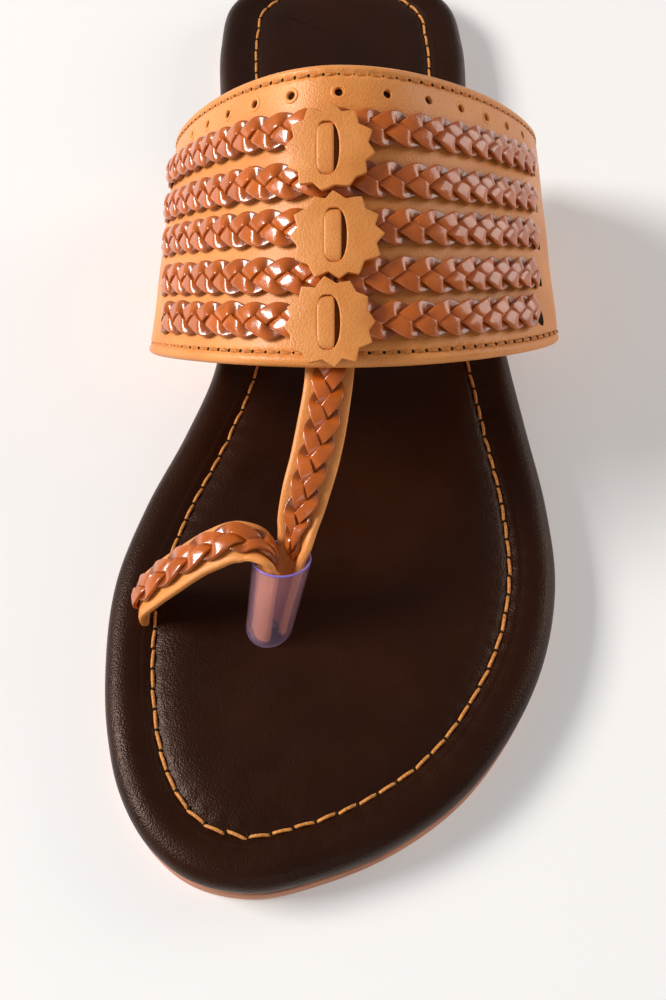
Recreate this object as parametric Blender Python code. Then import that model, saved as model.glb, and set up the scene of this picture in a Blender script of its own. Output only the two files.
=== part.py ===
"""A left kolhapuri sandal, standing empty on its flat sole.

Metres, +Z up, the floor at Z = 0. The toe points to -Y, the outer (lateral) side
of the foot is +X, and Y = 0 is halfway along the sole. Tables and functions speak
of a distance "along" the sole, counted from the toe tip towards the heel.
"""

import functools
import math

import bmesh
import bpy
import numpy as np
from mathutils import Vector

# Sole
SOLE_LENGTH = 0.250
BALL_WIDTH = 0.0915
HEEL_WIDTH = 0.0645
OUTSOLE_THICKNESS = 0.0035
OUTSOLE_MARGIN = 0.0004
FOOTBED_THICKNESS = 0.0072
STITCH_INSET = 0.0096
SEAT_GAP = 0.0003
OUTLINE_POINTS = 84

# Instep band. Heights are above the footbed, along is a share of the sole's length.
BAND_THICKNESS = 0.0020
BAND_FRONT_ALONG = 0.348
BAND_REAR_ALONG = 0.5625
BAND_FRONT_HEIGHT = 0.0377
BAND_REAR_HEIGHT = 0.0617
BAND_BULGE_HEIGHT = 0.0130
BAND_ROUNDNESS = 0.67
BAND_TUCK = 0.0070
BAND_HEM_ROUND = 0.0009

# Punched holes along the band's rear edge
HOLE_COUNT = 12
HOLE_PITCH = 0.0092
HOLE_DIAMETER = 0.0018
HOLE_MARGIN = 0.0056
HOLE_SHIFT = 0.0046

# Five plaits across the band. Margins run from the band's front edge.
PLAIT_MARGINS = (0.0084, 0.0170, 0.0265, 0.0357, 0.0459)
PLAIT_WIDTH = 0.0082
PLAIT_PITCH = 0.0052
PLAIT_HEIGHT = 0.0017
PLAIT_END_MARGIN = 0.0110
PLAIT_SEAT = 0.00045

# Star ornaments, each held by a keeper tab through its slot
STAR_TEETH = 12
STAR_DIAMETER = 0.0172
STAR_BEND_RADIUS = 0.030
STAR_THICKNESS = 0.0012
STAR_MARGINS = (0.0075, 0.0240, 0.0407)
STAR_SHIFTS = (-0.0015, -0.0004, -0.0015)
STAR_TURNS = (-4.0, -1.5, 5.0)
SLOT_WIDTH = 0.0044
SLOT_LENGTH = 0.0104
TAB_WIDTH = 0.0032

# Toe strap, toe loop and the clear sleeve that gathers them
STRAP_WIDTH = 0.0094
STRAP_THICKNESS = 0.0017
STRAP_PLAIT_WIDTH = 0.0070
STRAP_PLAIT_HEIGHT = 0.0015
STRAP_PLAIT_RISE = 0.0003
SLEEVE_LENGTH = 0.0170
SLEEVE_FOOT_DIAMETER = 0.0092
SLEEVE_MOUTH_DIAMETER = 0.0112
SLEEVE_WALL = 0.0005
SLEEVE_SIDES = 20
SOCKET_DEPTH = 0.0045
STRAP_SUNK = 0.0025

FOOTBED_TOP = OUTSOLE_THICKNESS + SEAT_GAP + FOOTBED_THICKNESS

# The sole's edge: shares of its length from the toe tip, and of the ball or heel width.
TOE_TIP_SHARE = -0.176
HEEL_END_SHARE = 0.040
OUTLINE_FORE = (  # along, medial, lateral
    (0.012, -0.300, -0.010),
    (0.034, -0.372, 0.130),
    (0.072, -0.436, 0.272),
    (0.118, -0.472, 0.372),
    (0.176, -0.490, 0.452),
    (0.246, -0.484, 0.495),
    (0.318, -0.430, 0.490),
    (0.390, -0.350, 0.462),
    (0.456, -0.292, 0.436),
)
OUTLINE_REAR = (
    (0.560, -0.392, 0.572),
    (0.680, -0.406, 0.538),
    (0.800, -0.448, 0.532),
    (0.880, -0.458, 0.530),
    (0.938, -0.426, 0.488),
    (0.978, -0.292, 0.352),
)

# The footbed's side and top: shares of the stitch inset, and of its thickness.
FOOTBED_SECTION = (  # inset, height
    (0.34, 0.00),
    (0.10, 0.16),
    (0.00, 0.48),
    (0.07, 0.75),
    (0.24, 0.92),
    (0.52, 1.00),
    (0.84, 0.96),
    (1.00, 0.88),
    (1.16, 0.96),
    (1.60, 1.02),
)

# The band's front and rear sections: shares of the ball width, and leans in degrees.
BAND_REACH = {"medial": (0.420, 0.398), "lateral": (0.522, 0.516)}
BAND_LEAN = {"medial": (41.0, 30.5), "lateral": (45.0, 31.5)}
BAND_CROWN_SHARE = 0.012

# Centre lines of the two toe straps, as far as the sleeve's mouth. Places are shares of
# the ball width, of the sole's length and of the band's front height.
TOE_STRAP_PATH = (  # across, along, height, facing in degrees, curl
    (-0.004, 0.4200, 1.040, 0.0, 0.00),
    (-0.010, 0.3460, 0.832, 0.0, 0.00),
    (-0.022, 0.3200, 0.760, -2.0, 0.00),
    (-0.038, 0.2940, 0.682, -6.0, 0.04),
    (-0.058, 0.2700, 0.598, -14.0, 0.15),
    (-0.070, 0.2530, 0.508, -28.0, 0.40),
)
TOE_LOOP_PATH = (
    (-0.406, 0.2240, -0.060, 90.0, 0.00),
    (-0.408, 0.2240, 0.060, 90.0, 0.00),
    (-0.378, 0.2245, 0.186, 90.0, 0.00),
    (-0.322, 0.2290, 0.322, 90.0, 0.00),
    (-0.252, 0.2360, 0.442, 90.0, 0.00),
    (-0.192, 0.2385, 0.500, 92.0, 0.05),
    (-0.155, 0.2350, 0.480, 97.0, 0.30),
)
TOE_STRAP_SEAT = 38.0  # the side of the sleeve each strap lies against, in degrees from +X
TOE_LOOP_SEAT = 200.0
STRAP_NECK = (0.58, 0.84)  # share of the strap's width left at the sleeve's foot and mouth
SLEEVE_FOOT = (-0.1365, 0.2045)  # across, along
SLEEVE_LEAN = (0.180, 0.430)  # sideways and backwards, for each unit upwards

TAN_LEATHER = (0.60, 0.25, 0.085)
PLAIT_LEATHER = (0.44, 0.11, 0.03)
DARK_LEATHER = (0.035, 0.014, 0.009)
SOLE_TAN = (0.42, 0.17, 0.10)
CLEAR_VIOLET = (0.55, 0.45, 0.80)


def clear_scene():
    for thing in list(bpy.data.objects):
        bpy.data.objects.remove(thing, do_unlink=True)


def new_collection(name):
    made = bpy.data.collections.new(name)
    bpy.context.scene.collection.children.link(made)
    return made


def new_material(name, color, roughness, alpha=1.0):
    material = bpy.data.materials.new(name)
    material.use_nodes = True
    shader = material.node_tree.nodes["Principled BSDF"]
    shader.inputs["Base Color"].default_value = (*color, 1.0)
    shader.inputs["Roughness"].default_value = roughness
    shader.inputs["Metallic"].default_value = 0.0
    shader.inputs["Alpha"].default_value = alpha
    return material


def new_object(name, mesh, material, collection):
    obj = bpy.data.objects.new(name, mesh)
    mesh.materials.append(material)
    collection.objects.link(obj)
    mesh.shade_smooth()
    mesh.set_sharp_from_angle(angle=math.radians(40))
    return obj


def finish_mesh(name, shape):
    bmesh.ops.recalc_face_normals(shape, faces=shape.faces)
    mesh = bpy.data.meshes.new(name)
    shape.to_mesh(mesh)
    shape.free()
    return mesh


def loft(name, rings):
    """One closed solid through a stack of closed rings, with a face over each end."""
    shape = bmesh.new()
    rows = [[shape.verts.new(point) for point in ring] for ring in rings]
    for low, high in zip(rows, rows[1:]):
        for i in range(len(low)):
            j = (i + 1) % len(low)
            shape.faces.new((low[i], low[j], high[j], high[i]))
    shape.faces.new(rows[0])
    shape.faces.new(rows[-1])
    return finish_mesh(name, shape)


def tube(name, outer, inner):
    """One closed wall between an outer and an inner stack of closed rings."""
    shape = bmesh.new()
    sides = [[[shape.verts.new(point) for point in ring] for ring in stack] for stack in (outer, inner)]
    count = len(outer[0])
    for rows in sides:
        for low, high in zip(rows, rows[1:]):
            for i in range(count):
                j = (i + 1) % count
                shape.faces.new((low[i], low[j], high[j], high[i]))
    for end in (0, -1):
        for i in range(count):
            j = (i + 1) % count
            shape.faces.new((sides[0][end][i], sides[0][end][j], sides[1][end][j], sides[1][end][i]))
    return finish_mesh(name, shape)


def smooth_curve(points, count, closed=False):
    """Rows evenly spaced by length on a smooth curve through the given rows.

    The first three columns are a place. Any further columns are carried along.
    """
    known = np.array(points, float)
    if closed:
        known = np.vstack([known[-2:], known, known[:3]])
    else:
        known = np.vstack([2 * known[0] - known[1], known, 2 * known[-1] - known[-2]])
    steps = np.linalg.norm(np.diff(known[:, :3], axis=0), axis=1)
    slopes = np.diff(known, axis=0) / steps[:, None]
    weight = (steps[:-1] / (steps[:-1] + steps[1:]))[:, None]
    tangents = slopes[:-1] * (1 - weight) + slopes[1:] * weight
    share = np.linspace(0, 1, 24, endpoint=False)[:, None]
    dense = []
    first, last = (1, len(known) - 4) if closed else (0, len(known) - 3)
    for i in range(first, last):
        start, end, span = known[i + 1], known[i + 2], steps[i + 1]
        dense.append(
            (2 * share**3 - 3 * share**2 + 1) * start
            + (share**3 - 2 * share**2 + share) * span * tangents[i]
            + (3 * share**2 - 2 * share**3) * end
            + (share**3 - share**2) * span * tangents[i + 1]
        )
    dense = np.vstack(dense + [known[last + 1][None]])
    run = np.concatenate([[0], np.cumsum(np.linalg.norm(np.diff(dense[:, :3], axis=0), axis=1))])
    marks = np.linspace(0, run[-1], count, endpoint=not closed)
    return np.stack([np.interp(marks, run, column) for column in dense.T], axis=1)


def y_of(along):
    """World Y of a distance from the toe tip."""
    return along - SOLE_LENGTH / 2


def sole_outline(count=OUTLINE_POINTS):
    """The sole's edge as (x, y, 0) rows, anticlockwise from the toe tip."""
    corners = [(TOE_TIP_SHARE * BALL_WIDTH, y_of(0), 0)]
    rows = [(along, medial, lateral, BALL_WIDTH) for along, medial, lateral in OUTLINE_FORE]
    rows += [(along, medial, lateral, HEEL_WIDTH) for along, medial, lateral in OUTLINE_REAR]
    for along, _, lateral, width in rows:
        corners.append((lateral * width, y_of(along * SOLE_LENGTH), 0))
    corners.append((HEEL_END_SHARE * HEEL_WIDTH, y_of(SOLE_LENGTH), 0))
    for along, medial, _, width in reversed(rows):
        corners.append((medial * width, y_of(along * SOLE_LENGTH), 0))
    return smooth_curve(corners, count, closed=True)


def inset_ring(outline, inset, height):
    """The outline moved inwards by inset, at a height above the floor."""
    ahead = np.roll(outline, -1, axis=0)
    behind = np.roll(outline, 1, axis=0)
    tangent = (ahead - behind)[:, :2]
    tangent /= np.linalg.norm(tangent, axis=1)[:, None]
    ring = outline.copy()
    ring[:, 0] -= tangent[:, 1] * inset
    ring[:, 1] += tangent[:, 0] * inset
    ring[:, 2] = height
    return ring


@functools.cache
def sole_edges():
    """The sole's edge on each side as rows sorted by Y."""
    outline = sole_outline(400)
    toe, heel = int(np.argmin(outline[:, 1])), int(np.argmax(outline[:, 1]))
    lateral = outline[toe : heel + 1]
    medial = np.vstack([outline[heel:], outline[: toe + 1]])
    return {side: part[np.argsort(part[:, 1])] for side, part in ((1, lateral), (-1, medial))}


def edge_x(side, y):
    """X of the sole's edge at a world Y, on the medial (-1) or lateral (+1) side."""
    part = sole_edges()[side]
    return float(np.interp(y, part[:, 1], part[:, 0]))


def build_outsole(material, collection):
    outline = sole_outline()
    chamfer = OUTSOLE_THICKNESS / 5
    rings = [
        inset_ring(outline, OUTSOLE_MARGIN + chamfer, 0.0),
        inset_ring(outline, OUTSOLE_MARGIN, chamfer),
        inset_ring(outline, OUTSOLE_MARGIN, OUTSOLE_THICKNESS),
    ]
    return new_object("outsole", loft("outsole", rings), material, collection)


def build_footbed(material, collection, cutters):
    outline = sole_outline()
    base = OUTSOLE_THICKNESS + SEAT_GAP
    rings = [
        inset_ring(outline, inset * STITCH_INSET, base + height * FOOTBED_THICKNESS)
        for inset, height in FOOTBED_SECTION
    ]
    footbed = new_object("footbed", loft("footbed", rings), material, collection)
    for cutter in cutters:
        cut = footbed.modifiers.new(cutter.name, "BOOLEAN")
        cut.operation = "DIFFERENCE"
        cut.solver = "EXACT"
        cut.object = cutter
    return footbed


def band_value(pair, share):
    return pair[0] + (pair[1] - pair[0]) * share


def band_crown(share):
    """The crown's place on the wall's middle, at a share from front (0) to rear (1)."""
    along = band_value((BAND_FRONT_ALONG, BAND_REAR_ALONG), share) * SOLE_LENGTH
    height = band_value((BAND_FRONT_HEIGHT, BAND_REAR_HEIGHT), share)
    return np.array([BAND_CROWN_SHARE * BALL_WIDTH, y_of(along), FOOTBED_TOP + height - BAND_THICKNESS / 2])


def band_length():
    return float(np.linalg.norm(band_crown(1) - band_crown(0)))


def band_half(side, share, over=14, under=6):
    """One side of a band section, from its crown to the end tucked under the footbed.

    Rows are places on the wall's middle. The last rows are the turn and the tuck.
    """
    name = "medial" if side < 0 else "lateral"
    crown = band_crown(share)
    lean = math.tan(math.radians(band_value(BAND_LEAN[name], share)))
    reach = band_value(BAND_REACH[name], share) * BALL_WIDTH - BAND_THICKNESS / 2
    bulge = FOOTBED_TOP + BAND_BULGE_HEIGHT
    seat = OUTSOLE_THICKNESS + SEAT_GAP + BAND_THICKNESS / 2
    widest = OUTSOLE_THICKNESS + SEAT_GAP + FOOTBED_THICKNESS / 2
    rim = edge_x(side, crown[1] + (crown[2] - widest) * lean)
    wall_x = rim + side * (SEAT_GAP * 1.5 + BAND_THICKNESS / 2)
    turn = BAND_THICKNESS * 0.9

    turns = np.linspace(0, math.pi / 2, over)
    x = crown[0] + (side * reach - crown[0]) * (1 - (1 - np.sin(turns)) ** 0.9)
    fall = np.cos((x - crown[0]) / (side * reach - crown[0]) * math.pi / 2)
    z = bulge + (crown[2] - bulge) * np.clip(fall, 0, 1) ** BAND_ROUNDNESS
    low = seat + turn * 1.6
    run = np.linspace(0, 1, under + 1)[1:]
    drop = bulge - low
    x_low = side * reach + (wall_x - side * reach) * (3 * run**2 - 2 * run**3)
    z_low = bulge - drop * run
    corner = np.radians([0, 30, 60, 90])
    x_turn = wall_x - side * turn * (1 - np.cos(corner))
    z_turn = seat + turn * (1 - np.sin(corner))
    x_all = np.concatenate([x, x_low, x_turn, [wall_x - side * BAND_TUCK]])
    z_all = np.concatenate([z, z_low, z_turn, [seat]])
    y_all = crown[1] + (crown[2] - z_all) * lean
    return np.stack([x_all, y_all, z_all], axis=1)


@functools.cache
def band_section(share):
    medial = band_half(-1, share)
    lateral = band_half(1, share)
    return np.vstack([medial[:0:-1], lateral])


def section_normals(rows, neighbours):
    """Unit normals on the outside of a grid, from its neighbouring rows."""
    across = np.gradient(rows, axis=0)
    along = neighbours
    normal = np.cross(along, across)
    return -normal / np.linalg.norm(normal, axis=1)[:, None]


@functools.cache
def band_sheet(share):
    """A section of the band's middle, and its outward normals."""
    step = 0.01
    rows = band_section(share)
    return rows, section_normals(rows, band_section(share + step) - band_section(share - step))


def band_place(share, reach, height):
    """A place on the band: a share from front to rear, a distance from the crown
    (medial side negative) and a height above the outer face."""
    rows, normals = band_sheet(share)
    middle = len(rows) // 2
    run = np.concatenate([[0], np.cumsum(np.linalg.norm(np.diff(rows, axis=0), axis=1))])
    run -= run[middle]
    place = np.array([np.interp(reach, run, column) for column in rows.T])
    normal = np.array([np.interp(reach, run, column) for column in normals.T])
    normal /= np.linalg.norm(normal)
    return place + normal * (BAND_THICKNESS / 2 + height)


def band_bulge_reach(side, share):
    """The distance from the crown to the widest place of a section."""
    half = band_half(side, share)[:14]
    return side * float(np.linalg.norm(np.diff(half, axis=0), axis=1).sum())


def build_band(material, collection, cutters):
    hem = BAND_HEM_ROUND / band_length()
    stations = [(0.0, 0.45), (hem * 0.35, 0.80), (hem, 1.0), (0.33, 1.0), (0.67, 1.0)]
    stations += [(1 - hem, 1.0), (1 - hem * 0.35, 0.80), (1.0, 0.45)]
    rings = []
    for share, fullness in stations:
        rows, normals = band_sheet(share)
        half = normals * BAND_THICKNESS / 2 * fullness
        rings.append(np.vstack([rows + half, (rows - half)[::-1]]))
    band = new_object("instep_band", loft("instep_band", rings), material, collection)
    for cutter in cutters:
        cut = band.modifiers.new(cutter.name, "BOOLEAN")
        cut.operation = "DIFFERENCE"
        cut.solver = "EXACT"
        cut.object = cutter
    return band


PLAIT_LANES = (-1.0, -0.5, 0.0, 0.5, 1.0)
PLAIT_PAD = (0.55, 1.0, 0.85, 0.55, 0.30)  # relief across a pad that lies to the first side


def plait_relief(step):
    """Relief across the plait at a count of half pitches: its pads alternate from side to side."""
    whole = math.floor(step)
    pads = [np.array(PLAIT_PAD[:: 1 if count % 2 == 0 else -1]) for count in (whole, whole + 1)]
    return pads[0] + (pads[1] - pads[0]) * (step - whole)


def plait_solid(name, place, width, height, start, end, between=1):
    """A plait from start to end, on a carrier's place(distance, sideways, height)."""
    steps = max(2, round((end - start) / (PLAIT_PITCH / 2))) * between
    rings = []
    for step in range(steps + 1):
        run = start + (end - start) * step / steps
        fullness = 0.55 if step in (0, steps) else 1.0
        relief = plait_relief(step / between) * height * fullness
        ring = [place(run, lane * width / 2, PLAIT_SEAT + rise) for lane, rise in zip(PLAIT_LANES, relief)]
        ring += [place(run, lane * width / 2, PLAIT_SEAT) for lane in (0.9, -0.9)]
        rings.append(ring)
    return loft(name, rings)


def build_plait_rows(material, collection):
    rows = []
    for number, margin in enumerate(PLAIT_MARGINS, start=1):
        share = margin / band_length()
        start = band_bulge_reach(-1, share) + PLAIT_END_MARGIN
        end = band_bulge_reach(1, share) - PLAIT_END_MARGIN

        def on_band(run, side, height, share=share):
            return band_place(share + side / band_length(), run, height)

        name = f"plait_row_{number}"
        mesh = plait_solid(name, on_band, PLAIT_WIDTH, PLAIT_HEIGHT, start, end)
        rows.append(new_object(name, mesh, material, collection))
    return rows


def slot_outline(count):
    """A round-ended slot, its long way along the foot, as (across, along) pairs."""
    straight = (SLOT_LENGTH - SLOT_WIDTH) / 2
    pairs = []
    for i in range(count):
        turn = 2 * math.pi * i / count
        along = math.cos(turn) * SLOT_WIDTH / 2
        pairs.append((math.sin(turn) * SLOT_WIDTH / 2, along + math.copysign(straight, along)))
    return pairs


def star_outline(degrees=0.0):
    """Pointed teeth with hollow flanks, four points to a tooth, turned by a few degrees."""
    profile = (1.0, 0.895, 0.845, 0.895)
    count = STAR_TEETH * len(profile)
    pairs = []
    for i in range(count):
        turn = 2 * math.pi * i / count + math.radians(degrees)
        radius = STAR_DIAMETER / 2 * profile[i % len(profile)]
        pairs.append((math.sin(turn) * radius, math.cos(turn) * radius))
    return pairs


class StarSeat:
    """The place of a star: a gently bent sheet that touches the plaits at the crown."""

    def __init__(self, margin, shift):
        share, step = margin / band_length(), 0.01
        self.centre = band_place(share, shift, PLAIT_SEAT + PLAIT_HEIGHT + SEAT_GAP * 2)
        along = band_place(share + step, shift, 0) - band_place(share - step, shift, 0)
        across = band_place(share, shift + STAR_DIAMETER / 2, 0) - band_place(share, shift - STAR_DIAMETER / 2, 0)
        self.along = along / np.linalg.norm(along)
        across -= self.along * across.dot(self.along)
        self.across = across / np.linalg.norm(across)
        self.normal = np.cross(self.across, self.along)

    def place(self, across, along, height):
        turn = across / STAR_BEND_RADIUS
        radius = STAR_BEND_RADIUS + height
        up = radius * math.cos(turn) - STAR_BEND_RADIUS
        return self.centre + self.across * radius * math.sin(turn) + self.along * along + self.normal * up


def build_stars(material, collection):
    slot = slot_outline(STAR_TEETH * 4)
    stars = []
    for number, (margin, shift, degrees) in enumerate(zip(STAR_MARGINS, STAR_SHIFTS, STAR_TURNS), start=1):
        seat = StarSeat(margin, shift)
        walls = []
        for pairs in (star_outline(degrees), slot):
            walls.append([[seat.place(*pair, height) for pair in pairs] for height in (0.0, STAR_THICKNESS)])
        name = f"star_{number}"
        stars.append(new_object(name, tube(name, *walls), material, collection))
    return stars


def build_tabs(material, collection):
    """The keeper tabs: each rises through its star's slot and dips to the plaits at both ends."""
    inside = SLOT_LENGTH / 2 - SEAT_GAP * 2
    half = ((1.0, 0.10, 0.45), (0.90, 0.55, 0.70), (0.60, 1.0, 1.0))  # along, lift, width
    profile = [(-along, lift, wide) for along, lift, wide in half] + [(0.0, 1.12, 1.0), *half[::-1]]
    side = (SLOT_WIDTH - TAB_WIDTH) / 2 - SEAT_GAP
    tabs = []
    for number, (margin, shift) in enumerate(zip(STAR_MARGINS, STAR_SHIFTS), start=1):
        seat = StarSeat(margin, shift)
        rings = []
        for along, lift, wide in profile:
            top = STAR_THICKNESS * (lift + 0.15)
            left, right = ((way * TAB_WIDTH / 2 - side) * wide for way in (-1, 1))
            corners = ((left, top), (right, top), (right, 0.0), (left, 0.0))
            rings.append([seat.place(across, along * inside, rise) for across, rise in corners])
        name = f"star_tab_{number}"
        tabs.append(new_object(name, loft(name, rings), material, collection))
    return tabs


def sleeve_axis(height):
    """A place on the sleeve's axis, at a height above its foot."""
    foot = (SLEEVE_FOOT[0] * BALL_WIDTH, y_of(SLEEVE_FOOT[1] * SOLE_LENGTH), FOOTBED_TOP + SEAT_GAP)
    return np.array(foot) + np.array([*SLEEVE_LEAN, 1.0]) * height


def sleeve_height():
    return SLEEVE_LENGTH / float(np.linalg.norm([*SLEEVE_LEAN, 1.0]))


def sleeve_radius(height):
    share = min(1.0, max(0.0, height / sleeve_height()))
    return band_value((SLEEVE_FOOT_DIAMETER, SLEEVE_MOUTH_DIAMETER), share) / 2


def sleeve_station(seat, height):
    """Where a strap lies inside the sleeve: place, facing, curl and width share."""
    turn = math.radians(seat)
    room = sleeve_radius(height) - SLEEVE_WALL - SEAT_GAP * 2 - STRAP_THICKNESS / 2
    place = sleeve_axis(height) + np.array([math.cos(turn), math.sin(turn), 0.0]) * room
    width = band_value(STRAP_NECK, min(1.0, max(0.0, height / sleeve_height())))
    return (*place, seat - 90.0, 1 / room, width)


def strap_rows(table, seat, count):
    """Evenly spaced rows of a strap's centre line: x, y, z, facing, curl and width share."""
    bend = sleeve_station(seat, sleeve_height())[4]
    stations = [
        (
            across * BALL_WIDTH,
            y_of(along * SOLE_LENGTH),
            FOOTBED_TOP + height * BAND_FRONT_HEIGHT,
            facing,
            curl * bend,
            1.0,
        )
        for across, along, height, facing, curl in table
    ]
    mouth = sleeve_height()
    heights = (mouth + STRAP_THICKNESS, mouth, mouth / 2, 0.0, -STRAP_SUNK)
    stations += [sleeve_station(seat, height) for height in heights]
    return smooth_curve(stations, count)


class Strap:
    """A ribbon along a centre line: it faces one way and curls across its width."""

    def __init__(self, table, seat, count=60):
        rows = strap_rows(table, seat, count)
        self.centre = rows[:, :3]
        steps = np.linalg.norm(np.diff(self.centre, axis=0), axis=1)
        self.run = np.concatenate([[0], np.cumsum(steps)])
        tangent = np.gradient(self.centre, axis=0)
        tangent /= np.linalg.norm(tangent, axis=1)[:, None]
        facing = np.radians(rows[:, 3])
        across = np.stack([np.cos(facing), np.sin(facing), np.zeros(count)], axis=1)
        across -= tangent * (across * tangent).sum(axis=1)[:, None]
        self.across = across / np.linalg.norm(across, axis=1)[:, None]
        self.normal = np.cross(tangent, self.across)
        self.curl = rows[:, 4]
        self.width = rows[:, 5] * STRAP_WIDTH

    def length(self):
        return float(self.run[-1])

    def place(self, run, side, height):
        """A place at a run along the ribbon, a distance sideways, and a height over its middle."""
        centre, across, normal = (
            np.array([np.interp(run, self.run, column) for column in rows.T])
            for rows in (self.centre, self.across, self.normal)
        )
        curl = float(np.interp(run, self.run, self.curl))
        if abs(curl) < 1.0:
            return centre + across * side + normal * height
        radius = 1 / curl
        turn = side * curl
        out = radius - (radius - height) * math.cos(turn)
        return centre + normal * out + across * (radius - height) * math.sin(turn)

    def solid(self, name, stations):
        lanes = ((-1.0, 0.45), (-0.92, 1.0), (-0.5, 1.0), (0.0, 1.0), (0.5, 1.0), (0.92, 1.0), (1.0, 0.45))
        rings = []
        for station in range(stations + 1):
            run = self.length() * station / stations
            half = float(np.interp(run, self.run, self.width)) / 2
            top = [self.place(run, lane * half, full * STRAP_THICKNESS / 2) for lane, full in lanes]
            low = [self.place(run, lane * half, -full * STRAP_THICKNESS / 2) for lane, full in lanes]
            rings.append(top + low[::-1])
        return loft(name, rings)

    def plait(self, name, start, end):
        def on_strap(run, side, height):
            return self.place(run, side, STRAP_THICKNESS / 2 + STRAP_PLAIT_RISE + height)

        return plait_solid(name, on_strap, STRAP_PLAIT_WIDTH, STRAP_PLAIT_HEIGHT, start, end, between=2)


def build_straps(materials, collection):
    tan, plait = materials
    hidden = SLEEVE_LENGTH + STRAP_SUNK
    made = []
    for name, table, seat, start, stations in (
        ("toe_strap", TOE_STRAP_PATH, TOE_STRAP_SEAT, STRAP_SUNK, 26),
        ("toe_loop", TOE_LOOP_PATH, TOE_LOOP_SEAT, STRAP_SUNK + SEAT_GAP, 32),
    ):
        strap = Strap(table, seat)
        mesh = strap.solid(name, stations)
        made.append(new_object(name, mesh, tan, collection))
        name += "_plait"
        mesh = strap.plait(name, start, strap.length() - hidden - SEAT_GAP)
        made.append(new_object(name, mesh, plait, collection))
    return made


def sleeve_ring(height, radius, level=False):
    """A ring square to the sleeve's axis, or the same ring slid along it to one level."""
    axis = sleeve_axis(1.0) - sleeve_axis(0.0)
    axis /= np.linalg.norm(axis)
    side = np.cross((0.0, 1.0, 0.0), axis)
    side /= np.linalg.norm(side)
    square = np.cross(axis, side)
    ring = []
    for turn in np.linspace(0, 2 * math.pi, SLEEVE_SIDES, endpoint=False):
        spread = (side * math.cos(turn) + square * math.sin(turn)) * radius
        if level:
            spread -= axis * spread[2] / axis[2]
        ring.append(sleeve_axis(height) + spread)
    return ring


def sleeve_rings(shrink):
    heights = [share * sleeve_height() for share in (0.0, 0.35, 0.7, 1.0)]
    return [sleeve_ring(height, sleeve_radius(height) - shrink, height == 0.0) for height in heights]


def build_sleeve(material, collection):
    mesh = tube("toe_sleeve", sleeve_rings(0.0), sleeve_rings(SLEEVE_WALL))
    return new_object("toe_sleeve", mesh, material, collection)


def new_cutter(name, mesh, collection):
    cutter = bpy.data.objects.new(name, mesh)
    collection.objects.link(cutter)
    cutter.hide_render = True
    cutter.display_type = "WIRE"
    return cutter


def box_mesh(name, low, high):
    shape = bmesh.new()
    bmesh.ops.create_cube(shape, size=1.0)
    low, high = np.array(low), np.array(high)
    for vert in shape.verts:
        vert.co = (low + high) / 2 + np.array(vert.co) * (high - low)
    return finish_mesh(name, shape)


def build_tuck_cutters(collection):
    """Recesses under the footbed's edge that take the band's tucked ends."""
    cutters = []
    base = OUTSOLE_THICKNESS
    for side, name in ((-1, "medial"), (1, "lateral")):
        ends = [band_half(side, share)[-1] for share in (0.0, 1.0)]
        front, rear = ends[0][1] - SEAT_GAP * 2, ends[1][1] + SEAT_GAP * 2
        inner = side * min(abs(end[0]) for end in ends) - side * SEAT_GAP * 2
        outer = side * BALL_WIDTH
        low = (min(inner, outer), front, base - SEAT_GAP)
        high = (max(inner, outer), rear, base + SEAT_GAP * 2 + BAND_THICKNESS)
        cutters.append(new_cutter(f"tuck_{name}", box_mesh(f"tuck_{name}", low, high), collection))
    return cutters


def build_socket_cutters(collection):
    """Sockets in the footbed for the strap ends: one at the post, one at the inner rim."""
    radius = SLEEVE_FOOT_DIAMETER / 2 - SLEEVE_WALL
    rings = [sleeve_ring(height, radius, True) for height in (-SOCKET_DEPTH - SEAT_GAP, SOCKET_DEPTH)]
    post = new_cutter("post_socket", loft("post_socket", rings), collection)
    x, y = TOE_LOOP_PATH[0][0] * BALL_WIDTH, y_of(TOE_LOOP_PATH[0][1] * SOLE_LENGTH)
    reach = (STRAP_THICKNESS / 2 + SEAT_GAP * 2, STRAP_WIDTH / 2 + SEAT_GAP)
    low = (x - reach[0], y - reach[1], FOOTBED_TOP - STRAP_SUNK - SEAT_GAP)
    high = (x + reach[0], y + reach[1], FOOTBED_TOP + SOCKET_DEPTH)
    rim = new_cutter("rim_socket", box_mesh("rim_socket", low, high), collection)
    return [post, rim]


def build_hole_cutters(collection):
    """The row of punched holes along the band's rear edge, as one cutter."""
    share = 1 - HOLE_MARGIN / band_length()
    shape = bmesh.new()
    for i in range(HOLE_COUNT):
        reach = (i - (HOLE_COUNT - 1) / 2) * HOLE_PITCH + HOLE_SHIFT
        low = band_place(share, reach, -BAND_THICKNESS * 2)
        high = band_place(share, reach, BAND_THICKNESS)
        middle = (low + high) / 2
        made = bmesh.ops.create_cone(
            shape,
            cap_ends=True,
            segments=8,
            radius1=HOLE_DIAMETER / 2,
            radius2=HOLE_DIAMETER / 2,
            depth=float(np.linalg.norm(high - low)),
        )
        turn = Vector(high - low).to_track_quat("Z", "Y").to_matrix()
        bmesh.ops.rotate(shape, verts=made["verts"], matrix=turn)
        bmesh.ops.translate(shape, verts=made["verts"], vec=middle)
    return [new_cutter("punched_holes", finish_mesh("punched_holes", shape), collection)]


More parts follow.
